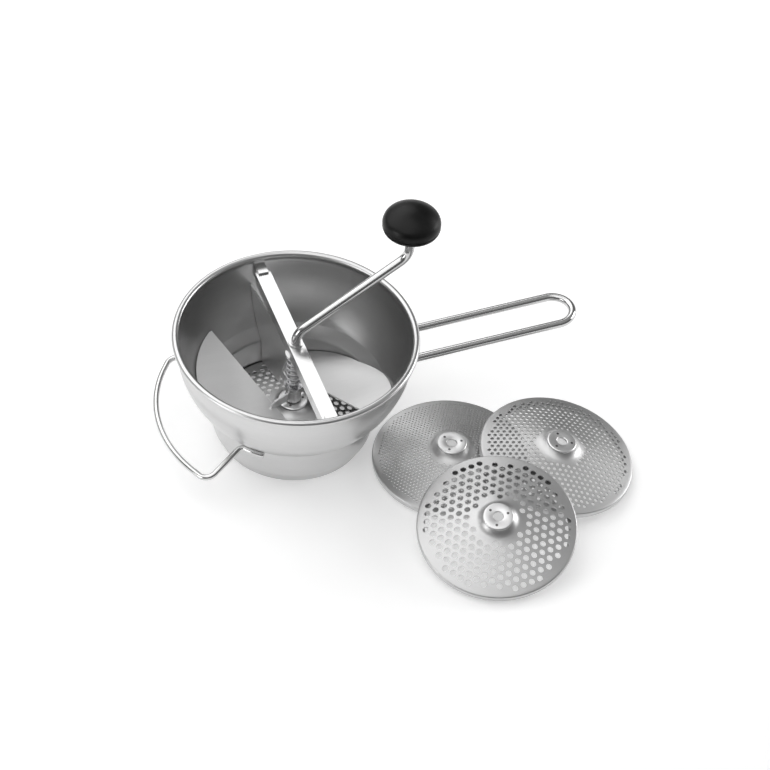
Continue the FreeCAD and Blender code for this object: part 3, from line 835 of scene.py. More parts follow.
def soften(piece: Piece, width: float, steps: int = 2, sharp: float = 40.0) -> None:
    """Break the sharp edges of a piece by a small bevel.

    Args:
        piece: the piece to soften.
        width: the bevel's width in millimetres.
        steps: segments across the bevel.
        sharp: angle in degrees over which an edge is broken.
    """
    bevel = piece.modifiers.new("broken_edges", "BEVEL")
    bevel.width = width * MM
    bevel.segments = steps
    bevel.limit_method = "ANGLE"
    bevel.angle_limit = math.radians(sharp)
    bevel.harden_normals = False


# Sub-assemblies


@dataclass
class Bowl:
    """The drawn bowl with its two handles and the lugs of the crossbar.

    A point is a radius and a height over the table; spans, turns and leans are in degrees.
    """

    wall: float = 1.0
    foot: float = 62.5
    ledge: float = 11.0
    skirt_low: float = 67.6
    skirt_top: Point = (70.0, 38.0)
    shoulder: Point = (79.0, 47.0)
    shoulder_lift: float = 0.4
    brim: Point = (99.0, 102.0)
    curve: float = 92.0
    curve_steps: int = 28
    outer_bends: tuple[float, ...] = (1.6, 1.6, 5.0, 2.4)
    inner_bends: tuple[float, ...] = (3.2, 4.2, 2.4, 0.9)
    bead: Point = (99.5, 107.0)
    bead_radius: float = 3.0
    bead_sweep: tuple[int, int, int] = (-98, 238, 12)
    segments: int = 192
    sharp: float = 50.0
    handle_rod: float = 3.5
    handle_half: float = 16.5
    handle_reach: float = 252.0
    handle_height: float = 69.0
    handle_rise: float = 2.0
    handle_lead: float = 6.0
    handle_slack: float = 0.01
    handle_sink: float = 0.4
    handle_steps: int = 20
    handle_sides: int = 24
    wire: float = 2.6
    wire_gap: float = 0.05
    wire_arc: Point = (115.0, 29.0)
    wire_span: float = 39.5
    wire_centre: float = 175.0
    wire_parts: int = 5
    wire_steps: int = 12
    leg_lean: float = 3.0
    leg_bends: tuple[float, ...] = (5.0, 9.0)
    foot_step: float = 7.5
    lug_edge: float = 0.35

    def outer_wall(self) -> list[Point]:
        """Outer face from the shoulder to the brim."""
        return arc_line(self.shoulder, self.brim, self.curve, self.curve_steps)

    def radius_at(self, height: float) -> float:
        """Outer radius of the upper wall at a height over the table."""
        return radius_on(self.outer_wall(), height)

    def build_bowl(self) -> Piece:
        """The sheet's closed section, turned.

        Returns:
            The bowl.
        """
        wall, lift, under_ledge = self.wall, self.shoulder_lift, self.ledge - self.wall
        low = [(self.foot, 0), (self.foot, under_ledge), (self.skirt_low, under_ledge)]
        low += [self.skirt_top, self.shoulder]
        up_wall = flat(self.outer_wall())
        outside = corner_round(flat(low) + up_wall[1:2], self.outer_bends)[:-1] + up_wall[1:]
        bead = [
            Vector((*self.bead, 0)) + about_axis(self.bead_radius, math.radians(degrees))
            for degrees in range(*self.bead_sweep)
        ]
        bottom = (self.shoulder[0] - wall, self.shoulder[1] + lift)
        top = (self.brim[0] - wall, self.brim[1])
        down_wall = flat(arc_line(bottom, top, self.curve - wall, self.curve_steps))[::-1]
        skirt = [(self.skirt_top[0] - wall, self.skirt_top[1] + lift), (self.skirt_low - wall, self.ledge)]
        foot = [(self.foot - wall, self.ledge), (self.foot - wall, 0)]
        inside = down_wall[:-1] + corner_round(down_wall[-2:] + flat(skirt + foot), self.inner_bends)[1:]
        return lathe("bowl_sheet", section(outside + bead + inside), self.segments, self.sharp)

    def build_long_handle(self) -> Piece:
        """The rod's loop, its two ends cut to the wall.

        Returns:
            The rod.
        """
        slope = math.tan(math.radians(self.handle_rise))
        reach, half = self.handle_reach - self.handle_rod, self.handle_half
        start = math.sqrt(self.radius_at(self.handle_height) ** 2 - half ** 2)
        leg = [(start, half), (start + self.handle_lead, half), (reach, half)]
        loop = leg + [(x, -y) for x, y in reversed(leg)]
        corners = [Vector((x, y, self.handle_height + slope * (x - self.brim[0]))) for x, y in loop]
        bend = half - self.handle_slack
        path = corner_round(corners, (0, bend, bend, 0), self.handle_steps)
        rod = tube("long_handle_rod", path, self.handle_rod, self.handle_sides)
        count = len(rod.data.vertices)
        for index in (*range(self.handle_sides), *range(count - self.handle_sides, count)):
            place = rod.data.vertices[index].co
            wall = self.radius_at(place.z / MM) - self.handle_sink
            place.x = math.sqrt(wall * wall - (place.y / MM) ** 2) * MM
        return rod

    def build_front_handle(self) -> Piece:
        """The wire's level arc, two legs and the feet along the shoulder.

        Returns:
            The wire.
        """
        lean = math.atan2(self.shoulder[1] - self.skirt_top[1], self.shoulder[0] - self.skirt_top[0])
        away = self.wire + self.wire_gap
        foot_radius = (self.skirt_top[0] + self.shoulder[0]) / 2 + away * math.sin(lean)
        foot_height = (self.skirt_top[1] + self.shoulder[1]) / 2 - away * math.cos(lean)
        arc_radius, arc_height = self.wire_arc
        step = 2 * self.wire_span / self.wire_parts
        corner_radius = arc_radius / math.cos(math.radians(step / 2))
        turns = [self.wire_centre - self.wire_span + step * part for part in range(self.wire_parts + 1)]
        arc = [about_axis(corner_radius, math.radians(turn), arc_height) for turn in turns]
        middle_radius = foot_radius / math.cos(math.radians(self.foot_step))
        feet = []
        for side in (-1, 1):
            foot = []
            for part, radius in ((2, foot_radius), (1, middle_radius), (0, foot_radius)):
                turn = self.wire_centre + side * (self.wire_span + self.leg_lean + part * self.foot_step)
                foot.append(about_axis(radius, math.radians(turn), foot_height))
            feet.append(foot)
        bends = [foot_radius / 2, *self.leg_bends]
        radii = bends + [arc_radius] * (self.wire_parts - 1) + bends[::-1]
        path = corner_round(feet[0] + arc + feet[1][::-1], radii, self.wire_steps)
        return tube("front_handle_wire", path, self.wire, round_ends=True)

    def build(self) -> None:
        """Make and dress the fixed pieces of the bowl."""
        dress(self.build_bowl(), BOWL_STEEL, "bowl", ("bowl",))
        dress(self.build_long_handle(), ROD_STEEL, "bowl", ("long_handle",))
        dress(self.build_front_handle(), ROD_STEEL, "bowl", ("front_handle",))
        for name in ("bar_lug_back", "bar_lug_front"):
            soften(dress(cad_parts[name], BAR_STEEL), self.lug_edge)


@dataclass
class Crossbar:
    """The sprung bar with its bush, spring and washer.

    The seat and the collar of the bush are given by radius and thickness.
    """

    bar_edge: float = 0.9
    bar_top: float = 99.5
    bar_depth: float = 11.0
    bore: float = 4.1
    sleeve: float = 4.95
    seat: Point = (8.2, 1.6)
    collar: Point = (6.2, 1.25)
    fit: float = 0.05
    edge: float = 0.2
    washer_radius: float = 8.2
    washer_low: float = 50.6
    washer_high: float = 51.8
    ring_steps: int = 48
    coil_radius: float = 6.4
    coil_wire: float = 0.8
    coil_low: float = 52.9
    coil_high: float = 85.8
    coil_turns: float = 6.0
    coil_steps: int = 28
    coil_sides: int = 12

    def bush_section(self) -> list[Point]:
        """Spring seat under the bar, sleeve through it and collar on top.

        Returns:
            The bush's section.
        """
        low, high, fit, edge = self.bar_top - self.bar_depth, self.bar_top, self.fit, self.edge
        seat, collar = self.seat[0], self.collar[0]
        bottom, top = low - self.seat[1], high + self.collar[1]
        return [
            (self.bore, bottom),
            (seat - edge, bottom),
            (seat, bottom + edge),
            (seat, low - fit),
            (self.sleeve, low - fit),
            (self.sleeve, high + fit),
            (collar - edge, high + fit),
            (collar, high + fit + edge),
            (collar, top - edge),
            (collar - edge, top),
            (self.bore, top),
        ]

    def build_coil(self, name: str, begin: float, finish: float) -> Piece:
        """A stretch of the open coil.

        Args:
            name: the piece's name.
            begin: where it starts, as a share of the coil's height.
            finish: where it ends.

        Returns:
            The wound wire.
        """
        steps = int(self.coil_turns * self.coil_steps * (finish - begin))
        path = []
        for step in range(steps + 1):
            share = begin + (finish - begin) * step / steps
            height = self.coil_low + (self.coil_high - self.coil_low) * share
            path.append(about_axis(self.coil_radius, 2 * math.pi * self.coil_turns * share, height))
        return tube(name, path, self.coil_wire, self.coil_sides)

    def build_spring(self) -> None:
        """The coil in two halves: the lower gives way to the blade's float, the upper to the bar's press."""
        low = self.build_coil("spring_coil_low", 0.0, 0.5)
        dress(low, WIRE_STEEL, None, ("spring",))
        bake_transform(low)
        high = self.build_coil("spring_coil_high", 0.5, 1.0)
        dress(high, WIRE_STEEL, None)
        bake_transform(high)

    def build(self) -> None:
        """Make and dress the pieces of the bar."""
        soften(dress(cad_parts["crossbar"], BAR_STEEL), self.bar_edge)
        bush = lathe("bush_sleeve", self.bush_section(), self.ring_steps)
        dress(bush, BAR_STEEL, "bush", ("bar_bush",))
        ring = ring_section(self.bore, self.washer_radius, self.washer_low, self.washer_high, self.edge)
        washer = lathe("washer_ring", ring, self.ring_steps)
        dress(washer, WIRE_STEEL, "thrust", ("thrust_washer",))
        self.build_spring()


@dataclass
class Crank:
    """The bent crank bar: shaft, slanted arm and post."""

    rod: float = 4.0
    rod_sides: int = 28
    bottom: float = 29.5
    rise: float = 101.7
    bend: float = 15.0
    bend_steps: int = 20
    angle: float = 4.0
    reach: float = 98.0
    arm: float = 30.0
    knob_bottom: float = 185.0
    post_sink: float = 1.0

    def turned(self) -> Matrix:
        """Turn of the arm about the shaft at rest."""
        return Matrix.Rotation(math.radians(self.angle), 3, "Z")

    def build_rod(self) -> Piece:
        """Bend the bar from the shaft's foot to the post's top.

        Returns:
            The bar.
        """
        arm = math.radians(self.arm)
        low = Vector((0, 0, self.rise + self.bend * math.tan((math.pi / 2 - arm) / 2)))
        high = low + Vector((self.reach, 0, self.reach * math.tan(arm)))
        top = Vector((self.reach, 0, self.knob_bottom + self.post_sink))
        corners = [self.turned() @ point for point in (Vector((0, 0, self.bottom)), low, high, top)]
        path = corner_round(corners, (self.bend, self.bend), self.bend_steps)
        return tube("crank_bar", path, self.rod, self.rod_sides)

    def build(self) -> None:
        """Make and dress the bar."""
        dress(self.build_rod(), ROD_STEEL, "crank", ("crank_rod",))


@dataclass
class Knob:
    """The black mushroom knob that turns on the crank's post.

    The neck's points are radius and height over the bottom. Those of the cup are inset from the rim and depth
    under the seam, and those of both hollows are radius and distance from the seam.
    """

    crank: Crank = field(default_factory=Crank)
    radius: float = 24.0
    seam: float = 201.0
    top: float = 218.0
    bore: float = 3.1
    neck: tuple[Point, ...] = ((7.4, 0.0), (8.0, 1.2), (8.9, 6.0))
    cup: tuple[Point, ...] = ((6.8, 6.6), (0.7, 3.0), (0.0, 0.35))
    base_bends: tuple[float, ...] = (0.4, 0.8, 5.0, 7.0, 1.6, 0.2)
    base_hollow: Point = (10.6, 2.6)
    seam_inset: float = 2.6
    seam_gap: float = 0.05
    cap_roof: float = 6.0
    cap_hollow: Point = (12.0, 5.0)
    cap_lip: Point = (0.1, 0.4)
    cheek_low: float = 1.6
    cheek_curve: float = 9.6
    cheek_steps: int = 12
    crown_inset: float = 4.0
    crown_drop: float = 7.0
    crown_steps: int = 16
    segments: int = 96
    sharp: float = 60.0

    def build_lower(self) -> Piece:
        """The moulded base with its neck.

        Returns:
            The lower half, on the upright axis.
        """
        low = self.crank.knob_bottom
        under = [(self.bore, low)]
        under += [(radius, low + height) for radius, height in self.neck]
        under += [(self.radius - inset, self.seam - depth) for inset, depth in self.cup]
        under.append((self.radius - self.seam_inset, self.seam))
        hollow, depth = self.base_hollow
        inside = [(hollow, self.seam - depth), (self.bore, self.seam - depth)]
        base = section(corner_round(flat(under), self.base_bends)) + inside
        return lathe("knob_lower", base, self.segments, self.sharp)

    def build_upper(self) -> Piece:
        """The moulded cap with its domed crown.

        Returns:
            The upper half, on the upright axis.
        """
        hollow, depth = self.cap_hollow
        lip_inset, lip_rise = self.cap_lip
        inside = [
            (0.0, self.seam + self.cap_roof),
            (hollow, self.seam + depth),
            (self.radius - self.seam_inset, self.seam + self.seam_gap),
            (self.radius - lip_inset, self.seam + lip_rise),
        ]
        brow = (self.radius - self.crown_inset, self.top - self.crown_drop)
        cheek = arc_line((self.radius, self.seam + self.cheek_low), brow, self.cheek_curve, self.cheek_steps)
        dome = (brow[0] ** 2 + self.crown_drop ** 2) / (2 * self.crown_drop)
        crown = arc_line(brow, (0.0, self.top), dome, self.crown_steps)
        return lathe("knob_upper", inside + cheek + crown[1:], self.segments, self.sharp)

    def build(self) -> None:
        """Make and dress the knob and the fasteners inside it."""
        post = self.crank.turned() @ Vector((self.crank.reach, 0, 0))
        for half, node in ((self.build_lower(), "knob_base"), (self.build_upper(), "knob_cap")):
            half.matrix_world = Matrix.Translation(post * MM)
            dress(half, KNOB_BLACK, "knob", (node,))
        for name in ("knob_washer", "knob_push_nut"):
            dress(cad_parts[name], WIRE_STEEL)


@dataclass
class Blade:
    """The blade's boss under the shaft's collar, its two slanted wings, their ribs and the wall scraper."""

    bowl: Bowl = field(default_factory=Bowl)
    bore: float = 4.02
    boss_radius: float = 6.5
    boss_low: float = 34.5
    boss_high: float = 46.5
    collar_radius: float = 7.0
    collar_high: float = 50.5
    ring_edge: float = 0.4
    ring_steps: int = 48
    angle: float = 203.0
    slope: float = 17.0
    level: float = 36.0
    chord: float = 20.0
    trail: float = 42.0
    sheet: float = 1.5
    gap: float = 1.0
    least_room: float = 1.0
    rows: int = 72
    columns: int = 10
    disc_line: tuple[Point, ...] = ((66.0, 16.5), (18.0, 27.5), (13.5, 32.5))
    rib_sink: float = 1.0
    rib_inset: float = 1.5
    rib_height: float = 8.0
    rib_tip: float = 4.0
    rib_slant: float = 4.0
    wing_edge: float = 0.3
    scraper_edge: float = 0.25

    def room(self, height: float) -> float:
        """Inner radius that a wing may reach.

        Args:
            height: height over the table.

        Returns:
            The radius there.
        """
        bowl = self.bowl
        if height >= bowl.shoulder[1]:
            outside = bowl.radius_at(height)
        else:
            outside = radius_on(((bowl.skirt_low, bowl.ledge), bowl.skirt_top, bowl.shoulder), height)
        return outside - bowl.wall - self.gap

    def strip(self, along: float) -> list[Vector]:
        """One strip of a wing, from the disc to the bowl.

        Args:
            along: how far down the slope the strip lies.

        Returns:
            The strip's points, or none where it has no room.
        """
        slope = math.radians(self.slope)
        across, height = along * math.cos(slope), self.level - along * math.sin(slope)
        far = self.room(height) ** 2 - across ** 2
        near = radius_on(self.disc_line, height - self.gap) ** 2 - across ** 2
        first = max(self.chord, math.sqrt(max(near, 0.0)))
        if far <= first * first + self.least_room:
            return []
        step = (math.sqrt(far) - first) / self.columns
        return [Vector((first + step * column, across, height)) for column in range(self.columns + 1)]

    def build_wing(self, name: str, turned: Matrix) -> Piece:
        """One slanted wing, cut to the bowl and to the disc.

        Args:
            name: the piece's name.
            turned: the wing's turn about the shaft.

        Returns:
            The wing.
        """
        top = -self.bowl.brim[0]
        strips = [self.strip(top + (self.trail - top) * row / self.rows) for row in range(self.rows + 1)]
        strips = [strip for strip in strips if strip]
        verts = [turned @ point for strip in strips for point in strip]
        wide = self.columns + 1
        faces = [
            (corner, corner + 1, corner + wide + 1, corner + wide)
            for row in range(len(strips) - 1)
            for corner in range(row * wide, row * wide + self.columns)
        ]
        points, shell = thicken(verts, faces, -self.sheet)
        return mesh_piece(name, points, [face[::-1] for face in shell])

    def build_rib(self, name: str, turned: Matrix) -> Piece:
        """The upright rib that ties a wing to the boss.

        Args:
            name: the piece's name.
            turned: the wing's turn about the shaft.

        Returns:
            The rib.
        """
        start, end = self.boss_radius - self.rib_sink, self.boss_radius + self.chord - self.rib_inset
        low, high, tip = self.level, self.level + self.rib_height, self.level + self.rib_tip
        corners = [(start, low), (end, low), (end, tip), (end - self.rib_slant, high), (start, high)]
        half = self.sheet / 2
        near, far = ([turned @ Vector((x, side, z)) for x, z in corners] for side in (-half, half))
        return mesh_piece(name, *prism(near, far))

    def build(self) -> None:
        """Make and dress the collar, the blade and the scraper."""
        ring = ring_section(self.bore, self.collar_radius, self.boss_high, self.collar_high, self.ring_edge)
        collar = lathe("collar_ring", ring, self.ring_steps)
        dress(collar, ROD_STEEL, "crank", ("shaft_collar",))
        ring = ring_section(self.bore, self.boss_radius, self.boss_low, self.boss_high, self.ring_edge)
        dress(lathe("blade_boss", ring, self.ring_steps), BLADE_STEEL, "crank")
        for side, degrees, nodes in (("front", self.angle, ("blade",)), ("back", self.angle + 180, ())):
            turned = Matrix.Rotation(math.radians(degrees), 3, "Z")
            wing = self.build_wing("blade_wing_" + side, turned)
            soften(dress(wing, BLADE_STEEL, "crank", nodes), self.wing_edge)
            dress(self.build_rib("blade_web_" + side, turned), BLADE_STEEL, "crank")
        soften(dress(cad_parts["wall_scraper"], BLADE_STEEL), self.scraper_edge)


@dataclass
class SieveDisc:
    """One pressed and punched disc with its hub plate.

    Heights count from the tabs' feet. The points of a rounding are its inset and its drop.
    """

    name: str
    body: str
    hole: float
    pitch: float
    sides: int
    radius: float = 66.0
    sheet: float = 1.0
    segments: int = 144
    cone_inset: float = 1.5
    cone_low: float = 9.0
    cone_rise: float = 11.0
    neck: float = 18.0
    neck_blend: float = 6.0
    neck_slope: float = -1.1
    neck_rings: tuple[float, ...] = (17.0, 16.0, 15.0, 14.0, 13.2, 12.5, 9.0, 5.6)
    margin: float = 63.0
    hole_insets: Point = (1.2, 1.6)
    rim_drop: float = 0.35
    rim_bends: Point = (1.5, 0.9)
    rim_steps: int = 5
    lip: Point = (58.8, 3.5)
    tab_count: int = 6
    tab_width: float = 15.0
    tab_height: float = 3.9
    tab_span: Point = (59.5, 60.7)
    tab_bend: float = 1.2
    tab_steps: int = 4
    hub: float = 12.5
    hub_bore: float = 4.1
    hub_low: float = 24.0
    hub_high: float = 26.0
    hub_edge: float = 0.2
    hub_round: tuple[Point, ...] = ((0.0, 0.6), (0.5, 0.1), (1.1, 0.0))
    bore_round: tuple[Point, ...] = ((0.9, 0.0), (0.3, 0.2), (0.0, 0.6))
    hub_segments: int = 72

    def placement(self) -> Matrix:
        """Where the disc lies, read from its hub plate.

        Returns:
            The disc's frame, in metres.
        """
        upright = 0.01
        points = np.array([v.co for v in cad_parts[self.name + "_hub"].data.vertices], float)
        centre = points.mean(axis=0)
        axis = Vector(np.linalg.eigh(np.cov((points - centre).T))[1][:, 0])
        axis = axis if axis.z > 0 else -axis
        low = Vector((axis.x, axis.y, 0))
        low = low.normalized() if low.length > upright else Vector((1, 0, 0))
        first = (low - low.project(axis)).normalized()
        turned = Matrix((first, axis.cross(first), axis)).transposed().to_4x4()
        base = Vector(centre) - axis * (self.hub_low + self.hub_high) / 2 * MM
        return Matrix.Translation(base) @ turned

    def height_at(self, radius: float) -> float:
        """Top face of the cone and its trumpet neck.

        Args:
            radius: distance from the disc's axis.

        Returns:
            The height in the disc's frame.
        """
        cone_edge = self.radius - self.cone_inset
        slope = self.cone_rise / (cone_edge - self.neck)
        blend_end = self.neck + self.neck_blend
        if radius >= blend_end:
            return self.cone_low + (cone_edge - radius) * slope
        if radius <= self.hub:
            return self.hub_low
        span = blend_end - self.hub
        share = (radius - self.hub) / span
        end = self.cone_low + (cone_edge - blend_end) * slope
        return (
            (2 * share ** 3 - 3 * share ** 2 + 1) * self.hub_low
            + (share ** 3 - 2 * share ** 2 + share) * span * self.neck_slope
            + (3 * share ** 2 - 2 * share ** 3) * end
            - (share ** 3 - share ** 2) * span * slope
        )

    def hole_centres(self) -> list[Point]:
        """Staggered grid of holes between the neck and the rim.

        Returns:
            The holes' centres, seen from above.
        """
        row_step = self.pitch * math.sqrt(3) / 2
        rows = int(self.radius / row_step) + 1
        inner = self.neck + self.hole_insets[0] + self.hole / 2
        outer = self.margin - self.hole_insets[1] - self.hole / 2
        grid = [
            ((column + 0.5 * (row % 2)) * self.pitch, row * row_step)
            for row in range(-rows, rows + 1)
            for column in range(-2 * rows, 2 * rows + 1)
        ]
        return [centre for centre in grid if inner < math.hypot(*centre) < outer]

    def build_sheet(self) -> Piece:
        """Neck, punched cone, rim and lip as one sheet.

        Returns:
            The sheet about its own axis.
        """
        margin_ring, least_gap = 1, 1e-7
        rings = [circle(self.neck, self.segments), circle(self.margin, self.segments)]
        rings += [circle(self.hole / 2, self.sides, centre) for centre in self.hole_centres()]
        owner = [number for number, ring in enumerate(rings) for _ in ring]
        corners = [corner for ring in rings for corner in ring]
        points, _, triangles, origin, _, _ = delaunay_2d_cdt(corners, [], [], 0, least_gap)
        verts = [Vector((*point, self.height_at(point.length))) for point in points]
        faces: list[Face] = []
        for a, b, c in triangles:
            owners = {owner[origin[corner][0]] for corner in (a, b, c)}
            # A triangle between corners of one ring fills the neck's opening or a hole.
            if len(owners) == 1 and margin_ring not in owners:
                continue
            area = (points[b] - points[a]).cross(points[c] - points[a])
            faces.append((a, b, c) if area > 0 else (a, c, b))
        where = {source[0]: index for index, source in enumerate(origin)}
        inner = [where[step] for step in range(self.segments)]
        outer = [where[self.segments + step] for step in range(self.segments)]
        neck = [(radius, self.height_at(radius)) for radius in self.neck_rings]
        self.add_strip(verts, faces, inner, neck, inward=True)
        edge = [(self.margin, self.height_at(self.margin)), (self.radius, self.cone_low - self.rim_drop)]
        edge += [(self.radius, self.lip[1]), self.lip]
        rim = section(corner_round(flat(edge), self.rim_bends, self.rim_steps))
        self.add_strip(verts, faces, outer, rim[1:], inward=False)
        return mesh_piece(self.name + "_sheet", *thicken(verts, faces, self.sheet))

    def add_strip(
        self, verts: list[Vector], faces: list[Face], start: list[int], profile: list[Point], inward: bool
    ) -> None:
        """Carry the sheet on from a ring of points.

        Args:
            verts: the sheet's points, which grow.
            faces: the sheet's faces, which grow.
            start: the ring that the strip starts from.
            profile: radius and height of the following rings.
            inward: True where the strip runs towards the axis.
        """
        before = start
        for radius, height in profile:
            ring = [len(verts) + step for step in range(self.segments)]
            verts += [about_axis(radius, turn, height) for turn in around(self.segments)]
            for step in range(self.segments):
                after = (step + 1) % self.segments
                face = (before[step], ring[step], ring[after], before[after])
                faces.append(face[::-1] if inward else face)
            before = ring

    def build_tabs(self) -> Piece:
        """The tabs under the lip.

        Returns:
            The tabs about the disc's own axis.
        """
        half, high = self.tab_width / 2, self.tab_height
        outline = flat(((high, -half), (0, -half), (0, half), (high, half)))
        edge = corner_round(outline, (self.tab_bend, self.tab_bend), self.tab_steps)
        verts: list[Vector] = []
        faces: list[Face] = []
        for angle in around(self.tab_count):
            turned = Matrix.Rotation(angle, 3, "Z")
            inner, outer = ([turned @ Vector((x, p.y, p.x)) for p in edge] for x in self.tab_span)
            points, sides = prism(outer, inner)
            faces += [tuple(len(verts) + corner for corner in side) for side in sides]
            verts += points
        return mesh_piece(self.name + "_tabs", verts, faces)

    def build_hub(self) -> Piece:
        """The hub plate with its softly rounded top edges.

        Returns:
            The plate about the disc's own axis.
        """
        low, high, edge = self.hub_low, self.hub_high, self.hub_edge
        plate = [(self.hub_bore, low), (self.hub - edge, low), (self.hub, low + edge)]
        plate += [(self.hub - inset, high - drop) for inset, drop in self.hub_round]
        plate += [(self.hub_bore + inset, high - drop) for inset, drop in self.bore_round]
        return lathe(self.name + "_plate", plate, self.hub_segments)

    def build(self) -> None:
        """Make and dress the disc, its tabs and its hub plate."""
        place = self.placement()
        sheet, tabs, hub = self.build_sheet(), self.build_tabs(), self.build_hub()
        for piece in (sheet, tabs, hub):
            settle(piece, place)
        dress(sheet, DISC_STEEL, self.body, (self.name,))
        dress(tabs, DISC_STEEL, self.body)
        dress(hub, HUB_STEEL, self.body, (self.name + "_hub",))


# Studio


@dataclass(frozen=True)
class Lamp:
    """A soft rectangular lamp, in metres and watts."""

    name: str
    place: Triple
    aim: Triple
    size: Point
    power: float

    def build(self) -> None:
        """Hang the lamp and turn it to its aim."""
        data = bpy.data.lights.new(self.name, "AREA")
        data.shape = "RECTANGLE"
        data.size, data.size_y = self.size
        data.energy = self.power
        lamp = bpy.data.objects.new(self.name, data)
        lamp.location = self.place
        lamp.rotation_mode = "QUATERNION"
        lamp.rotation_quaternion = (Vector(self.aim) - Vector(self.place)).to_track_quat("-Z", "Y")
        bpy.context.scene.collection.objects.link(lamp)


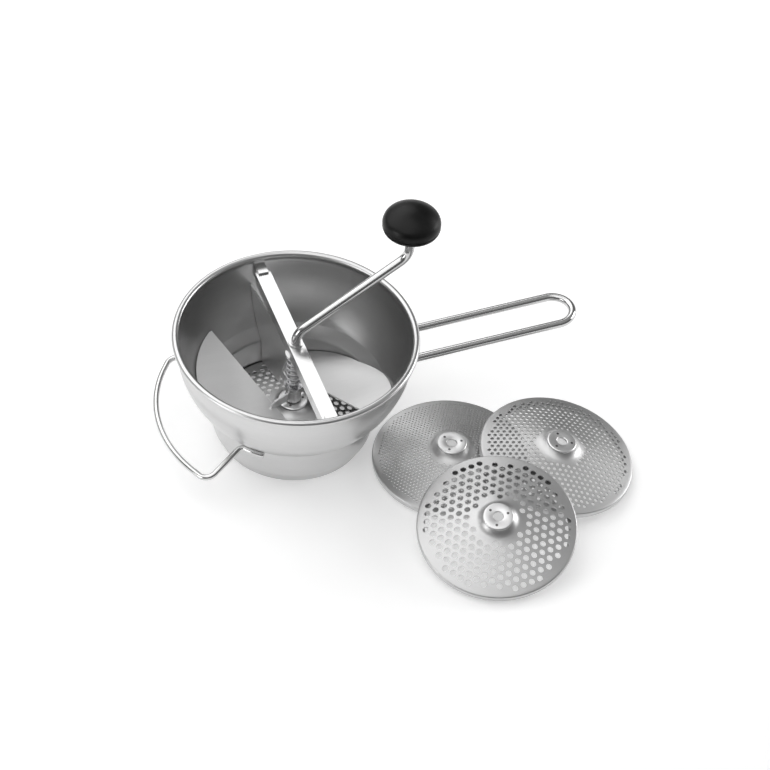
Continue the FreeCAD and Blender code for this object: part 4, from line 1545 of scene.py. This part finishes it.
@dataclass
class Studio:
    """Floor, soft lights and the camera.

    The camera's angles are in degrees, its distance in millimetres and its scale in pixels a millimetre. The
    room's tones are paired with their heights on a ball round the object.
    """

    azimuth: float = -22.7
    elevation: float = 45.6
    roll: float = 4.5
    distance: float = 2500.0
    scale: float = 1.177
    origin_px: Point = (291.8, 426.0)
    image: float = 770.0
    sensor: float = 36.0
    clip: Point = (0.05, 60.0)
    floor_size: float = 12.0
    floor_parts: int = 4
    floor_drop: float = 0.0002
    floor_lit: float = 0.80
    floor_seen: float = 0.85
    floor_glow: float = 0.34
    room_tones: tuple[Point, ...] = ((0.0, 0.16), (0.2, 0.10), (0.6, 0.26), (1.0, 0.50))
    room_strength: float = 0.8
    lamps: tuple[Lamp, ...] = (
        Lamp("back_key", (-0.45, 1.15, 1.25), (0.03, -0.03, 0.03), (2.5, 1.3), 17.0),
        Lamp("overhead", (-0.35, -0.15, 1.6), (0.03, -0.03, 0.03), (1.5, 1.5), 8.0),
        Lamp("left_low", (-1.4, -0.35, 0.50), (0.0, 0.0, 0.08), (0.7, 0.6), 5.0),
        Lamp("right_low", (1.5, 0.0, 0.48), (0.0, 0.0, 0.08), (0.7, 0.6), 7.0),
    )

    def build_camera(self) -> None:
        """Set a long lens at the photograph's angle."""
        azimuth, elevation, roll = (math.radians(x) for x in (self.azimuth, self.elevation, self.roll))
        back = about_axis(math.cos(elevation), azimuth - math.pi / 2, math.sin(elevation))
        level = about_axis(1.0, azimuth)
        rise = back.cross(level)
        right = level * math.cos(roll) + rise * math.sin(roll)
        up = rise * math.cos(roll) - level * math.sin(roll)
        shift_x = (self.image / 2 - self.origin_px[0]) / self.scale
        shift_y = (self.origin_px[1] - self.image / 2) / self.scale
        data = bpy.data.cameras.new("camera")
        data.sensor_width = self.sensor
        data.lens = self.scale * self.distance * self.sensor / self.image
        data.clip_start, data.clip_end = self.clip
        camera = bpy.data.objects.new("camera", data)
        turned = Matrix((right, up, back)).transposed().to_4x4()
        place = back * self.distance + right * shift_x + up * shift_y
        camera.matrix_world = Matrix.Translation(place * MM) @ turned
        bpy.context.scene.collection.objects.link(camera)
        bpy.context.scene.camera = camera

    def floor_material(self) -> bpy.types.Material:
        """White where it is seen, plain matt where it only throws light back.

        Returns:
            The floor's material.
        """
        material, shader = new_material("white_floor")
        tree = material.node_tree
        tree.nodes.remove(shader)
        rays = tree.nodes.new("ShaderNodeLightPath").outputs
        seen = value_of(tree, "MAXIMUM", rays["Is Camera Ray"], rays["Is Glossy Ray"])
        seen = value_of(tree, "MAXIMUM", seen, rays["Is Transmission Ray"])
        lit, shade = (tree.nodes.new("ShaderNodeBsdfDiffuse") for _ in range(2))
        for matt, tone in ((lit, self.floor_lit), (shade, self.floor_seen)):
            matt.inputs["Color"].default_value = (*grey(tone), 1.0)
        glow = tree.nodes.new("ShaderNodeEmission")
        glow.inputs["Strength"].default_value = self.floor_glow
        white = tree.nodes.new("ShaderNodeAddShader")
        tree.links.new(shade.outputs[0], white.inputs[0])
        tree.links.new(glow.outputs[0], white.inputs[1])
        mixed = tree.nodes.new("ShaderNodeMixShader")
        for socket, item in zip(mixed.inputs, (seen, lit.outputs[0], white.outputs[0])):
            tree.links.new(item, socket)
        tree.links.new(mixed.outputs[0], tree.nodes["Material Output"].inputs["Surface"])
        return material

    def build_floor(self) -> None:
        """Lay a white floor that keeps the object's shadow."""
        bpy.ops.mesh.primitive_grid_add(
            x_subdivisions=self.floor_parts,
            y_subdivisions=self.floor_parts,
            size=self.floor_size,
            location=(0, 0, -self.floor_drop),
        )
        floor = bpy.context.object
        floor.name = "floor"
        floor.data.materials.append(self.floor_material())

    def build_world(self) -> None:
        """Make a pale room: white behind, brighter overhead, greyer at the sides."""
        world = bpy.data.worlds.new("studio")
        bpy.context.scene.world = world
        world.use_nodes = True
        tree = world.node_tree
        parts = tree.nodes.new("ShaderNodeSeparateXYZ")
        tree.links.new(tree.nodes.new("ShaderNodeTexCoord").outputs["Generated"], parts.inputs[0])
        ramp = tree.nodes.new("ShaderNodeValToRGB")
        tree.links.new(parts.outputs[2], ramp.inputs["Fac"])
        stops = ramp.color_ramp.elements
        for position, _ in self.room_tones[1:-1]:
            stops.new(position)
        for stop, (position, tone) in zip(stops, self.room_tones):
            stop.position = position
            stop.color = (*grey(tone), 1.0)
        camera_ray = tree.nodes.new("ShaderNodeLightPath").outputs["Is Camera Ray"]
        colour = blend_colour(tree, camera_ray, ramp.outputs[0], grey(1.0))
        back = tree.nodes["Background"]
        tree.links.new(colour, back.inputs["Color"])
        back.inputs["Strength"].default_value = self.room_strength

    def build(self) -> None:
        """Set the floor, the lights and the camera."""
        bpy.context.scene.view_settings.view_transform = "Standard"
        self.build_floor()
        self.build_world()
        for lamp in self.lamps:
            lamp.build()
        self.build_camera()


def main() -> None:
    """Build the looks piece by piece."""
    logging.basicConfig(level=logging.INFO)
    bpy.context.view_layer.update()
    for assembly in (
        Bowl(),
        Crossbar(),
        Crank(),
        Knob(),
        Blade(),
        SieveDisc("mill_disc", "bowl", hole=4.4, pitch=6.7, sides=14),
        SieveDisc("fine_disc", "fine_disc", hole=1.6, pitch=3.1, sides=8),
        SieveDisc("medium_disc", "medium_disc", hole=3.0, pitch=4.9, sides=12),
        SieveDisc("coarse_disc", "coarse_disc", hole=5.0, pitch=7.4, sides=18),
        Studio(),
    ):
        assembly.build()


if __name__ == "__main__":
    main()
